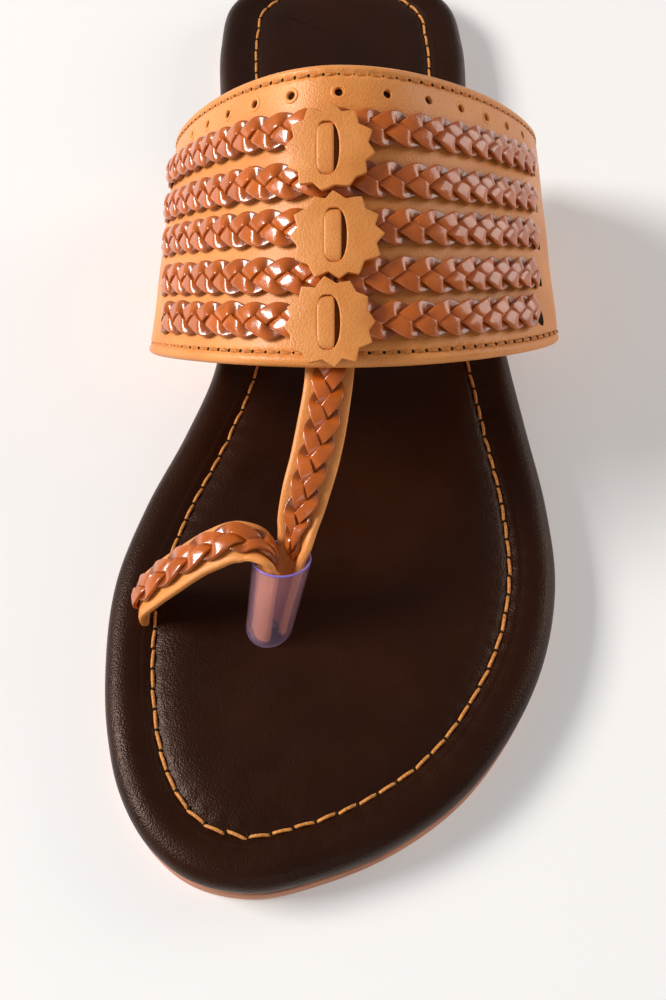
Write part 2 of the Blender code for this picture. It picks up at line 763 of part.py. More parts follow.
def main():
    clear_scene()
    parts = new_collection("kolhapuri_sandal")
    cutters = new_collection("cutters")
    tan = new_material("tan_leather", TAN_LEATHER, 0.50)
    plait = new_material("plait_leather", PLAIT_LEATHER, 0.22)
    dark = new_material("footbed_leather", DARK_LEATHER, 0.42)
    sole = new_material("outsole_tan", SOLE_TAN, 0.60)
    clear = new_material("clear_sleeve", CLEAR_VIOLET, 0.12, alpha=0.4)
    tucks = build_tuck_cutters(cutters)
    sockets = build_socket_cutters(cutters)
    holes = build_hole_cutters(cutters)
    build_outsole(sole, parts)
    build_footbed(dark, parts, tucks + sockets)
    build_band(tan, parts, holes)
    build_plait_rows(plait, parts)
    build_stars(tan, parts)
    build_tabs(tan, parts)
    build_straps((tan, plait), parts)
    build_sleeve(clear, parts)


main()
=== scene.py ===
"""Looks for the left kolhapuri sandal, laid out as a Blender add-on and run as a script.

Metres, +Z up, the floor at Z = 0. The toe points to -Y and +X is the outer side of the
foot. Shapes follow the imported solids: "along" runs from the toe tip to the heel.
"""

import functools
import math

import bmesh
import bpy
import numpy as np
from bpy.props import FloatProperty, FloatVectorProperty, IntProperty, PointerProperty
from mathutils import Euler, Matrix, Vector


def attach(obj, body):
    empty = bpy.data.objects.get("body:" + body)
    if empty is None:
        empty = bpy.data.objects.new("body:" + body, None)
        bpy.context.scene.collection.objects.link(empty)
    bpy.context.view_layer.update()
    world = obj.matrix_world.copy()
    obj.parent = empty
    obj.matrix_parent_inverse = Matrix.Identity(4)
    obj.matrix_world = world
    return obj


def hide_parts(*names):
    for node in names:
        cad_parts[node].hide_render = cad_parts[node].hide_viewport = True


bl_info = {
    "name": "Kolhapuri Sandal",
    "version": (1, 0, 0),
    "blender": (4, 5, 0),
    "location": "View3D > Sidebar > Sandal",
    "description": "Builds the leather, plaits, stitches and studio of a left kolhapuri sandal",
    "category": "Object",
}

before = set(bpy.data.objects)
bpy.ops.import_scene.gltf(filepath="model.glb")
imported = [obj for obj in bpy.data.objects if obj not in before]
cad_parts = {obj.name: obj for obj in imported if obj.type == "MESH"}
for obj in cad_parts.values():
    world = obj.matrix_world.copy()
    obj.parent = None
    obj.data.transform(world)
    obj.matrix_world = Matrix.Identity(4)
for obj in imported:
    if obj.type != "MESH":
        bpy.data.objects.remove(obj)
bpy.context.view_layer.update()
BODY = "root"

# Sole
SOLE_LENGTH = 0.250
BALL_WIDTH = 0.0915
HEEL_WIDTH = 0.0645
OUTSOLE_THICKNESS = 0.0035
OUTSOLE_MARGIN = 0.0004
FOOTBED_THICKNESS = 0.0072
STITCH_INSET = 0.0096
SEAT_GAP = 0.0003
FOOTBED_TOP = OUTSOLE_THICKNESS + SEAT_GAP + FOOTBED_THICKNESS

# Instep band
BAND_THICKNESS = 0.0020
BAND_FRONT_ALONG = 0.348
BAND_REAR_ALONG = 0.5625
BAND_FRONT_HEIGHT = 0.0377
BAND_REAR_HEIGHT = 0.0617
BAND_BULGE_HEIGHT = 0.0130
BAND_ROUNDNESS = 0.67
BAND_TUCK = 0.0070
BAND_REACH = {"medial": (0.420, 0.398), "lateral": (0.522, 0.516)}
BAND_LEAN = {"medial": (41.0, 30.5), "lateral": (45.0, 31.5)}
BAND_CROWN_SHARE = 0.012
BAND_SPREAD = 0.9
FOOT_TURN = 0.9
FOOT_RISE = 1.6
OVER_POINTS = 90
UNDER_POINTS = 22
HOLE_COUNT = 12
HOLE_PITCH = 0.0092
HOLE_DIAMETER = 0.0018
HOLE_MARGIN = 0.0056
HOLE_SHIFT = 0.0046

# Plaits and stars on the band
PLAIT_MARGINS = (0.0084, 0.0170, 0.0265, 0.0357, 0.0459)
PLAIT_WIDTH = 0.0082
PLAIT_PITCH = 0.0052
PLAIT_HEIGHT = 0.0017
PLAIT_END_MARGIN = 0.0110
PLAIT_SEAT = 0.00045
STAR_TEETH = 12
STAR_DIAMETER = 0.0172
STAR_BEND_RADIUS = 0.030
STAR_THICKNESS = 0.0012
STAR_MARGINS = (0.0075, 0.0240, 0.0407)
STAR_SHIFTS = (-0.0015, -0.0004, -0.0015)
STAR_TURNS = (-4.0, -1.5, 5.0)
SLOT_WIDTH = 0.0044
SLOT_LENGTH = 0.0104
TAB_WIDTH = 0.0032

# Toe straps and the clear sleeve
STRAP_WIDTH = 0.0094
STRAP_THICKNESS = 0.0017
STRAP_PLAIT_WIDTH = 0.0070
SLEEVE_LENGTH = 0.0170
SLEEVE_FOOT_DIAMETER = 0.0092
SLEEVE_MOUTH_DIAMETER = 0.0112
SLEEVE_WALL = 0.0005
STRAP_SUNK = 0.0025
STRAP_TAPER = 0.022

# The sole's edge: shares of its length from the toe tip, and of the ball or heel width.
TOE_TIP_SHARE = -0.176
HEEL_END_SHARE = 0.040
OUTLINE_FORE = (  # along, medial, lateral
    (0.012, -0.300, -0.010),
    (0.034, -0.372, 0.130),
    (0.072, -0.436, 0.272),
    (0.118, -0.472, 0.372),
    (0.176, -0.490, 0.452),
    (0.246, -0.484, 0.495),
    (0.318, -0.430, 0.490),
    (0.390, -0.350, 0.462),
    (0.456, -0.292, 0.436),
)
OUTLINE_REAR = (
    (0.560, -0.392, 0.572),
    (0.680, -0.406, 0.538),
    (0.800, -0.448, 0.532),
    (0.880, -0.458, 0.530),
    (0.938, -0.426, 0.488),
    (0.978, -0.292, 0.352),
)
FOOTBED_SECTION = (  # shares of the stitch inset and of the thickness, up to the groove
    (0.34, 0.00),
    (0.20, 0.05),
    (0.08, 0.18),
    (0.00, 0.46),
    (0.05, 0.72),
    (0.18, 0.89),
    (0.36, 0.975),
    (0.58, 1.00),
    (0.78, 0.99),
)
TOE_STRAP_PATH = (  # across, along, height, facing in degrees, curl
    (-0.004, 0.4200, 1.040, 0.0, 0.00),
    (-0.010, 0.3460, 0.832, 0.0, 0.00),
    (-0.022, 0.3200, 0.760, -2.0, 0.00),
    (-0.038, 0.2940, 0.682, -6.0, 0.04),
    (-0.058, 0.2700, 0.598, -14.0, 0.15),
    (-0.070, 0.2530, 0.508, -28.0, 0.40),
)
TOE_LOOP_PATH = (
    (-0.406, 0.2240, -0.060, 90.0, 0.00),
    (-0.408, 0.2240, 0.060, 90.0, 0.00),
    (-0.378, 0.2245, 0.186, 90.0, 0.00),
    (-0.322, 0.2290, 0.322, 90.0, 0.00),
    (-0.252, 0.2360, 0.442, 90.0, 0.00),
    (-0.192, 0.2385, 0.500, 92.0, 0.05),
    (-0.155, 0.2350, 0.480, 97.0, 0.30),
)
TOE_STRAP_SEAT = 38.0
TOE_LOOP_SEAT = 200.0
STRAP_NECK = (0.72, 0.86)
SLEEVE_FOOT = (-0.1365, 0.2045)
SLEEVE_LEAN = (0.180, 0.430)

# Camera: fitted to the photograph
PHOTO_ASPECT = 666 / 1000
CAMERA_PLACE = (0.0, -0.18081, 0.24561)
CAMERA_PITCH = 30.0
CAMERA_LENS = 46.8
CAMERA_FILM = 36.0


def metres(name, description, default, low, high):
    return FloatProperty(name=name, description=description, default=default,
                         min=low, max=high, unit="LENGTH")


class SandalSizes(bpy.types.PropertyGroup):
    """Sizes of the work that shows on the leather."""

    footbed_stitch: metres("Footbed stitch", "Pitch round the footbed", 0.0042, 0.002, 0.01)
    band_stitch: metres("Band stitch", "Pitch along the band's edges", 0.0028, 0.002, 0.01)
    thread: metres("Thread", "Thickness of the sewing thread", 0.00072, 0.0002, 0.002)
    strand_width: metres("Strand width", "Width of one strand", 0.0034, 0.001, 0.008)
    strand_thickness: metres("Strand thickness", "Thickness of one strand", 0.00082, 0.0002, 0.002)
    hole_rim: metres("Hole rim", "Thickness of the ring round a hole", 0.00100, 0.0001, 0.002)
    outline_points: IntProperty(
        name="Outline points", description="Points round the sole's edge",
        default=1180, min=200, max=2000)


def colour(name, description, default):
    return FloatVectorProperty(name=name, description=description, default=default,
                               subtype="COLOR", size=3, min=0.0, max=1.0)


class SandalColours(bpy.types.PropertyGroup):
    """Colours of the leathers, threads and the sleeve."""

    tan_leather: colour("Tan leather", "Band, stars and strap backings", (0.80, 0.298, 0.072))
    braid_leather: colour("Braid leather", "Glossy strands of the plaits", (0.53, 0.108, 0.010))
    footbed_leather: colour("Footbed leather", "Wrapped insole", (0.0190, 0.0044, 0.0013))
    footbed_thread: colour("Footbed thread", "Stitches round the footbed", (0.70, 0.260, 0.042))
    band_thread: colour("Band thread", "Stitches along the band", (0.62, 0.190, 0.014))
    outsole: colour("Outsole", "Thin sole sheet", (0.55, 0.225, 0.120))
    sleeve: colour("Sleeve", "Clear tinted sleeve", (0.86, 0.62, 0.94))
    floor: colour("Floor", "Studio floor", (0.70, 0.69, 0.685))


def sizes():
    return bpy.context.scene.sandal_sizes


def colours():
    return bpy.context.scene.sandal_colours


def smooth_curve(points, count, closed=False):
    """Rows evenly spaced by length on a smooth curve through the given rows."""
    known = np.array(points, float)
    if closed:
        known = np.vstack([known[-2:], known, known[:3]])
    else:
        known = np.vstack([2 * known[0] - known[1], known, 2 * known[-1] - known[-2]])
    steps = np.linalg.norm(np.diff(known[:, :3], axis=0), axis=1)
    slopes = np.diff(known, axis=0) / steps[:, None]
    weight = (steps[:-1] / (steps[:-1] + steps[1:]))[:, None]
    tangents = slopes[:-1] * (1 - weight) + slopes[1:] * weight
    share = np.linspace(0, 1, 48, endpoint=False)[:, None]
    dense = []
    first, last = (1, len(known) - 4) if closed else (0, len(known) - 3)
    for i in range(first, last):
        start, end, span = known[i + 1], known[i + 2], steps[i + 1]
        dense.append(
            (2 * share**3 - 3 * share**2 + 1) * start
            + (share**3 - 2 * share**2 + share) * span * tangents[i]
            + (3 * share**2 - 2 * share**3) * end
            + (share**3 - share**2) * span * tangents[i + 1]
        )
    dense = np.vstack(dense + [known[last + 1][None]])
    run = run_of(dense[:, :3])
    marks = np.linspace(0, run[-1], count, endpoint=not closed)
    return sampled(dense, run, marks)


def run_of(points):
    """Distance travelled at each of a row of points."""
    return np.concatenate([[0], np.cumsum(np.linalg.norm(np.diff(points, axis=0), axis=1))])


def unit(rows):
    return rows / np.linalg.norm(rows, axis=-1, keepdims=True)


def round_turns(count):
    """Angles evenly spaced round a circle."""
    return np.linspace(0, 2 * math.pi, count, endpoint=False)


def bell(value, middle, half):
    """Rises to 1 at a middle and fades out over a half width on both sides."""
    return np.exp(-(((value - middle) / half) ** 2))


def squared(wave, power):
    """Flattens the tops of a sine or a cosine, for sections with flat faces."""
    return np.sign(wave) * np.abs(wave) ** power


def sampled(rows, run, marks):
    """Reads rows, known at the distances of a run, at other distances."""
    return np.stack([np.interp(marks, run, column) for column in rows.T], axis=-1)


def soft_noise(place, seed, size):
    """Smooth noise from a few fixed waves, between about -1 and 1."""
    draws = np.random.default_rng(seed)
    total = np.zeros(place.shape[:-1])
    for _ in range(7):
        way = unit(draws.normal(size=3)) * draws.uniform(0.6, 1.7) * 2 * math.pi / size
        total += np.sin(place @ way + draws.uniform(0, 2 * math.pi))
    return total / 3.5


def y_of(along):
    return along - SOLE_LENGTH / 2


def sole_outline(count):
    """The sole's edge as (x, y, 0) rows, anticlockwise from the toe tip."""
    corners = [(TOE_TIP_SHARE * BALL_WIDTH, y_of(0), 0)]
    rows = [(along, medial, lateral, BALL_WIDTH) for along, medial, lateral in OUTLINE_FORE]
    rows += [(along, medial, lateral, HEEL_WIDTH) for along, medial, lateral in OUTLINE_REAR]
    for along, _, lateral, width in rows:
        corners.append((lateral * width, y_of(along * SOLE_LENGTH), 0))
    corners.append((HEEL_END_SHARE * HEEL_WIDTH, y_of(SOLE_LENGTH), 0))
    for along, medial, _, width in reversed(rows):
        corners.append((medial * width, y_of(along * SOLE_LENGTH), 0))
    return smooth_curve(corners, count, closed=True)


def inset_ring(outline, inset, height):
    tangent = unit((np.roll(outline, -1, axis=0) - np.roll(outline, 1, axis=0))[:, :2])
    ring = outline.copy()
    ring[:, 0] -= tangent[:, 1] * inset
    ring[:, 1] += tangent[:, 0] * inset
    ring[:, 2] = height
    return ring


@functools.cache
def sole_edges():
    outline = sole_outline(400)
    toe, heel = int(np.argmin(outline[:, 1])), int(np.argmax(outline[:, 1]))
    lateral = outline[toe : heel + 1]
    medial = np.vstack([outline[heel:], outline[: toe + 1]])
    return {side: part[np.argsort(part[:, 1])] for side, part in ((1, lateral), (-1, medial))}


def edge_x(side, y):
    part = sole_edges()[side]
    return float(np.interp(y, part[:, 1], part[:, 0]))


def between(pair, share):
    return pair[0] + (pair[1] - pair[0]) * share


def band_crown(share):
    along = between((BAND_FRONT_ALONG, BAND_REAR_ALONG), share) * SOLE_LENGTH
    height = between((BAND_FRONT_HEIGHT, BAND_REAR_HEIGHT), share)
    return np.array([BAND_CROWN_SHARE * BALL_WIDTH, y_of(along), FOOTBED_TOP + height - BAND_THICKNESS / 2])


BAND_LENGTH = float(np.linalg.norm(band_crown(1) - band_crown(0)))


def band_half(side, share):
    """One side of a band section, from its crown to the end tucked under the footbed."""
    name = "medial" if side < 0 else "lateral"
    crown = band_crown(share)
    lean = math.tan(math.radians(between(BAND_LEAN[name], share)))
    reach = between(BAND_REACH[name], share) * BALL_WIDTH - BAND_THICKNESS / 2
    bulge = FOOTBED_TOP + BAND_BULGE_HEIGHT
    seat = OUTSOLE_THICKNESS + SEAT_GAP + BAND_THICKNESS / 2
    widest = OUTSOLE_THICKNESS + SEAT_GAP + FOOTBED_THICKNESS / 2
    rim = edge_x(side, crown[1] + (crown[2] - widest) * lean)
    wall_x = rim + side * (SEAT_GAP * 1.5 + BAND_THICKNESS / 2)
    turn = BAND_THICKNESS * FOOT_TURN
    turns = np.linspace(0, math.pi / 2, OVER_POINTS)
    x = crown[0] + (side * reach - crown[0]) * (1 - (1 - np.sin(turns)) ** BAND_SPREAD)
    fall = np.cos((x - crown[0]) / (side * reach - crown[0]) * math.pi / 2)
    z = bulge + (crown[2] - bulge) * np.clip(fall, 0, 1) ** BAND_ROUNDNESS
    low = seat + turn * FOOT_RISE
    run = np.linspace(0, 1, UNDER_POINTS + 1)[1:]
    x_low = side * reach + (wall_x - side * reach) * (3 * run**2 - 2 * run**3)
    z_low = bulge - (bulge - low) * run
    corner = np.radians(np.linspace(0, 90, 9))
    x_turn = wall_x - side * turn * (1 - np.cos(corner))
    z_turn = seat + turn * (1 - np.sin(corner))
    x_all = np.concatenate([x, x_low, x_turn, [wall_x - side * BAND_TUCK]])
    z_all = np.concatenate([z, z_low, z_turn, [seat]])
    y_all = crown[1] + (crown[2] - z_all) * lean
    return np.stack([x_all, y_all, z_all], axis=1)


class BandSheet:
    def __init__(self, shares=65, halves=260):
        self.shares = np.linspace(-0.02, 1.02, shares)
        sides = {side: [band_half(side, share) for share in self.shares] for side in (-1, 1)}
        self.length = {side: min(run_of(half)[-1] for half in sides[side]) for side in sides}
        self.reaches = np.concatenate([
            np.linspace(-self.length[-1], 0, halves)[:-1],
            np.linspace(0, self.length[1], halves),
        ])
        middle = halves - 1
        grid = []
        for medial, lateral in zip(sides[-1], sides[1]):
            left = sampled(medial, run_of(medial), -self.reaches[:middle])
            right = sampled(lateral, run_of(lateral), self.reaches[middle:])
            grid.append(np.vstack([left, right]))
        self.places = np.array(grid)
        across = np.gradient(self.places, axis=1)
        along = np.gradient(self.places, axis=0)
        self.normals = unit(-np.cross(along, across))
        self.smooth_normals()

    def smooth_normals(self):
        """Blunts the crease that the two halves leave at the crown."""
        for _ in range(6):
            inner = self.normals[:, 1:-1]
            inner[:] = unit(self.normals[:, :-2] + 2 * inner + self.normals[:, 2:])

    def at(self, share, reach, height):
        """Places for arrays of share, reach from the crown and height over the outer face."""
        share, reach, height = np.broadcast_arrays(share, reach, height)
        i = np.clip(np.searchsorted(self.shares, share) - 1, 0, len(self.shares) - 2)
        j = np.clip(np.searchsorted(self.reaches, reach) - 1, 0, len(self.reaches) - 2)
        u = ((share - self.shares[i]) / (self.shares[i + 1] - self.shares[i]))[..., None]
        v = ((reach - self.reaches[j]) / (self.reaches[j + 1] - self.reaches[j]))[..., None]

        def mix(grid):
            front = grid[i, j] * (1 - v) + grid[i, j + 1] * v
            rear = grid[i + 1, j] * (1 - v) + grid[i + 1, j + 1] * v
            return front * (1 - u) + rear * u

        return mix(self.places) + unit(mix(self.normals)) * (BAND_THICKNESS / 2 + height)[..., None]


@functools.cache
def band_sheet():
    return BandSheet()


def bulge_reach(side, share):
    half = band_half(side, share)[:OVER_POINTS]
    return side * float(run_of(half)[-1])


def plait_span(share):
    """Where a plait across the band starts and ends, from the crown."""
    return bulge_reach(-1, share) + PLAIT_END_MARGIN, bulge_reach(1, share) - PLAIT_END_MARGIN


def mesh_from_grid(name, grid, caps=(False, False), closed_run=False):
    """A mesh over rows of points, each row a closed loop. closed_run joins the last to the first."""
    rows, count = grid.shape[:2]
    index = np.arange(rows * count).reshape(rows, count)
    last = rows if closed_run else rows - 1
    i, j = np.meshgrid(np.arange(last), np.arange(count), indexing="ij")
    k, m = (i + 1) % rows, (j + 1) % count
    faces = np.stack([index[i, j], index[i, m], index[k, m], index[k, j]], axis=-1).reshape(-1, 4).tolist()
    if caps[0]:
        faces.append(index[0][::-1].tolist())
    if caps[1]:
        faces.append(index[-1].tolist())
    mesh = bpy.data.meshes.new(name)
    mesh.from_pydata(grid.reshape(-1, 3).tolist(), [], faces)
    return mesh


def join_meshes(name, meshes, merge=None):
    """One mesh from several, its close points merged, facing outwards."""
    shape = bmesh.new()
    for mesh in meshes:
        shape.from_mesh(mesh)
        bpy.data.meshes.remove(mesh)
    if merge:
        bmesh.ops.remove_doubles(shape, verts=shape.verts, dist=merge)
    bmesh.ops.recalc_face_normals(shape, faces=shape.faces)
    joined = bpy.data.meshes.new(name)
    shape.to_mesh(joined)
    shape.free()
    return joined


def closed_mesh(name, grid, merge=None, **how):
    """One grid as a mesh that faces outwards."""
    return join_meshes(name, [mesh_from_grid(name, grid, **how)], merge)


def in_scene(name, data):
    """A new object for a mesh, a light or a camera, linked to the scene."""
    made = bpy.data.objects.new(name, data)
    bpy.context.scene.collection.objects.link(made)
    return made


def evaluated_mesh(carrier):
    """The mesh that an object's modifier makes."""
    bpy.context.view_layer.update()
    evaluated = carrier.evaluated_get(bpy.context.evaluated_depsgraph_get())
    return bpy.data.meshes.new_from_object(evaluated)


def new_piece(name, mesh, material, replaced=(), crease=50.0):
    """Puts a finished mesh in the scene, riding on the sandal's one body."""
    old = bpy.data.objects.get(name)
    if old:
        bpy.data.objects.remove(old)
    mesh.materials.clear()
    mesh.materials.append(material)
    mesh.shade_smooth()
    mesh.set_sharp_from_angle(angle=math.radians(crease))
    piece = in_scene(name, mesh)
    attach(piece, BODY)
    if replaced:
        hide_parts(*replaced)
    return piece


class Surface:
    """A procedural material under construction: a Principled shader and its helpers."""

    def __init__(self, name, base, roughness=0.5):
        self.material = bpy.data.materials.get(name) or bpy.data.materials.new(name)
        self.material.use_nodes = True
        self.tree = self.material.node_tree
        self.tree.nodes.clear()
        self.shader = self.add("ShaderNodeBsdfPrincipled")
        output = self.add("ShaderNodeOutputMaterial")
        self.link(self.shader.outputs["BSDF"], output.inputs["Surface"])
        self.set({"Base Color": (*base, 1.0), "Roughness": roughness})
        self.place = self.add("ShaderNodeTexCoord").outputs["Object"]

    def add(self, kind, **values):
        node = self.tree.nodes.new(kind)
        for key, value in values.items():
            setattr(node, key, value)
        return node

    def set(self, values):
        for socket, value in values.items():
            self.shader.inputs[socket].default_value = value

    def link(self, source, target):
        self.tree.links.new(source, target)

    def feed(self, target, value):
        """Links a socket to an input, or sets a number or a colour on it."""
        if isinstance(value, bpy.types.NodeSocket):
            self.link(value, target)
        else:
            target.default_value = (*value, 1.0) if isinstance(value, tuple) else value

    def stretched(self, scale):
        node = self.add("ShaderNodeMapping")
        node.inputs["Scale"].default_value = scale
        self.link(self.place, node.inputs["Vector"])
        return node.outputs["Vector"]

    def noise(self, size, detail=2.0, rough=0.5, vector=None):
        node = self.add("ShaderNodeTexNoise")
        for socket, value in (("Scale", 1 / size), ("Detail", detail), ("Roughness", rough)):
            node.inputs[socket].default_value = value
        self.link(vector or self.place, node.inputs["Vector"])
        return node.outputs["Fac"]

    def pebbles(self, size):
        """A fine leather grain, from smooth cells."""
        node = self.add("ShaderNodeTexVoronoi", feature="SMOOTH_F1")
        node.inputs["Scale"].default_value = 1 / size
        node.inputs["Smoothness"].default_value = 0.35
        self.link(self.place, node.inputs["Vector"])
        return node.outputs["Distance"]

    def span(self, value, low, high, start=0.0, end=1.0):
        """Stretches a value from one range to another, and clamps it."""
        node = self.add("ShaderNodeMapRange")
        for socket, number in zip(("From Min", "From Max", "To Min", "To Max"), (low, high, start, end)):
            node.inputs[socket].default_value = number
        self.link(value, node.inputs["Value"])
        return node.outputs["Result"]

    def share(self, value, factor):
        node = self.add("ShaderNodeMath", operation="MULTIPLY")
        self.feed(node.inputs[0], value)
        self.feed(node.inputs[1], factor)
        return node.outputs["Value"]

    def tint(self, factor, low, high):
        """A colour between two, by a factor."""
        node = self.add("ShaderNodeMix", data_type="RGBA")
        self.link(factor, node.inputs["Factor"])
        self.feed(node.inputs[6], low)
        self.feed(node.inputs[7], high)
        return node.outputs[2]

    def colour(self, value):
        self.link(value, self.shader.inputs["Base Color"])

    def roughness(self, size, low, high, detail=3.0, rough=0.5):
        """Uneven shine: a roughness that drifts between two values."""
        value = self.span(self.noise(size, detail, rough), 0.3, 0.7, low, high)
        self.link(value, self.shader.inputs["Roughness"])

    def relief(self, *layers):
        """Bumps on top of each other: rows of height, depth in metres and strength."""
        below = None
        for height, depth, strength in layers:
            node = self.add("ShaderNodeBump")
            node.inputs["Distance"].default_value = depth
            node.inputs["Strength"].default_value = strength
            self.link(height, node.inputs["Height"])
            if below:
                self.link(below, node.inputs["Normal"])
            below = node.outputs["Normal"]
        self.link(below, self.shader.inputs["Normal"])


def scaled(base, *factors):
    """A colour times one factor, or times one for each channel."""
    factors = factors if len(factors) == 3 else factors * 3
    return tuple(min(1.0, channel * factor) for channel, factor in zip(base, factors))


def tan_leather_material(name="tan_leather", grain=1.0, tone=1.0, gloss=0.42):
    """Full-grain tan leather: small pebbles, a cloudy tone and a soft finish."""
    base = scaled(colours().tan_leather, tone)
    made = Surface(name, base, gloss)
    cloud = made.span(made.noise(0.016, 3.0, 0.55), 0.3, 0.7)
    warm = made.tint(cloud, scaled(base, 0.88, 0.80, 0.70), scaled(base, 1.08, 1.15, 1.3))
    pebble = made.pebbles(0.00042)
    pores = made.share(made.span(pebble, 0.25, 0.75), 0.18)
    made.colour(made.tint(pores, warm, scaled(base, 0.60)))
    made.roughness(0.004, gloss - 0.06, gloss + 0.08)
    made.relief(
        (made.span(pebble, 0.0, 0.9, 1.0, 0.0), 0.00007 * grain, 0.9),
        (made.noise(0.00030, 3.0, 0.6), 0.00003 * grain, 0.7),
        (made.noise(0.0060), 0.00006 * grain, 0.6),
    )
    made.set({"Specular IOR Level": 0.42, "Specular Tint": (1.0, 0.86, 0.74, 1.0)})
    made.set({"Coat Weight": 0.10, "Coat Roughness": 0.28})
    return made.material


def braid_leather_material():
    """Glazed orange-brown strands with fine cross creases, and painted shade where a strand dives under its
    neighbour.
    """
    base = tuple(colours().braid_leather)
    made = Surface("braid_leather", base, 0.26)
    cloud = made.span(made.noise(0.006, 3.0, 0.6), 0.32, 0.68)
    warm = made.tint(cloud, scaled(base, 0.80), scaled(base, 1.10, 1.20, 1.3))
    # Painted shade: the colour darkens where a strand dives under its neighbour.
    dive_shade = made.add("ShaderNodeAttribute", attribute_name="dive_shade").outputs["Fac"]
    dark = made.share(made.span(dive_shade, 0.45, 0.95), 0.75)
    made.colour(made.tint(dark, warm, scaled(base, 0.30)))
    made.roughness(0.0016, 0.17, 0.30)
    made.relief((made.noise(0.0012), 0.00008, 0.7), (made.noise(0.00030, 2.0, 0.6), 0.000015, 0.5))
    made.set({"Specular IOR Level": 0.5, "Coat Weight": 0.55, "Coat Roughness": 0.04})
    return made.material


def footbed_leather_material():
    """Dark brown coated leather with a fine even grain and a satin sheen."""
    base = tuple(colours().footbed_leather)
    made = Surface("footbed_leather", base, 0.42)
    cloud = made.span(made.noise(0.022, 3.0), 0.3, 0.7)
    made.colour(made.tint(cloud, scaled(base, 0.78), scaled(base, 1.25)))
    made.roughness(0.006, 0.31, 0.41, 4.0, 0.6)
    made.relief(
        (made.span(made.pebbles(0.00036), 0.0, 0.9, 1.0, 0.0), 0.00007, 0.9),
        (made.noise(0.00024, 3.0, 0.6), 0.00002, 0.6),
        (made.noise(0.006), 0.00008, 0.5),
    )
    made.set({"Specular IOR Level": 0.25, "Specular Tint": (1.0, 0.74, 0.62, 1.0)})
    return made.material


def outsole_material():
    """Tan sole sheet with faint lines along its cut edge."""
    base = tuple(colours().outsole)
    made = Surface("outsole_sheet", base, 0.62)
    lines = made.noise(0.0022, 4.0, 0.7, made.stretched((0.15, 0.15, 4.0)))
    made.colour(made.tint(made.span(lines, 0.3, 0.7), scaled(base, 0.66), scaled(base, 1.25)))
    made.relief((lines, 0.00016, 0.8), (made.noise(0.0005, 3.0), 0.00006, 0.7))
    return made.material


def thread_material(name, base):
    """Waxed sewing thread: fine fibres and a slightly darker twist."""
    made = Surface(name, base, 0.58)
    twist = made.noise(0.00045)
    made.colour(made.tint(made.span(twist, 0.35, 0.65), scaled(base, 0.62), scaled(base, 1.25)))
    made.relief((twist, 0.00012, 0.9))
    made.set({"Sheen Weight": 0.15})
    return made.material


def painted_shade_material(name="hole_shade", base=(0.030, 0.016, 0.006)):
    """Painted shade for the inside of a hole or a slot."""
    made = Surface(name, base, 0.95)
    made.set({"Specular IOR Level": 0.05})
    made.relief((made.noise(0.0004, 3.0), 0.0001, 0.6))
    return made.material


def sleeve_material():
    """Clear soft plastic with a violet tint."""
    made = Surface("clear_sleeve", tuple(colours().sleeve), 0.16)
    made.set({"Transmission Weight": 0.74, "IOR": 1.38, "Alpha": 0.32})
    made.roughness(0.0030, 0.06, 0.14, 3.0, 0.6)
    made.relief((made.noise(0.0040), 0.00010, 0.5))
    return made.material


def rim_material():
    """The sleeve's lip, where the tint gathers."""
    made = Surface("sleeve_lip", (0.33, 0.23, 0.72), 0.22)
    made.set({"Transmission Weight": 0.25, "IOR": 1.40})
    made.relief((made.noise(0.0015), 0.00006, 0.5))
    return made.material


def floor_material():
    """A pale studio floor that gives back a little light of its own."""
    made = Surface("studio_floor", tuple(colours().floor), 0.75)
    made.set({"Emission Color": (1.0, 0.975, 0.96, 1.0), "Emission Strength": 0.235})
    made.relief((made.noise(0.02), 0.0003, 0.1))
    return made.material


# Geometry Nodes

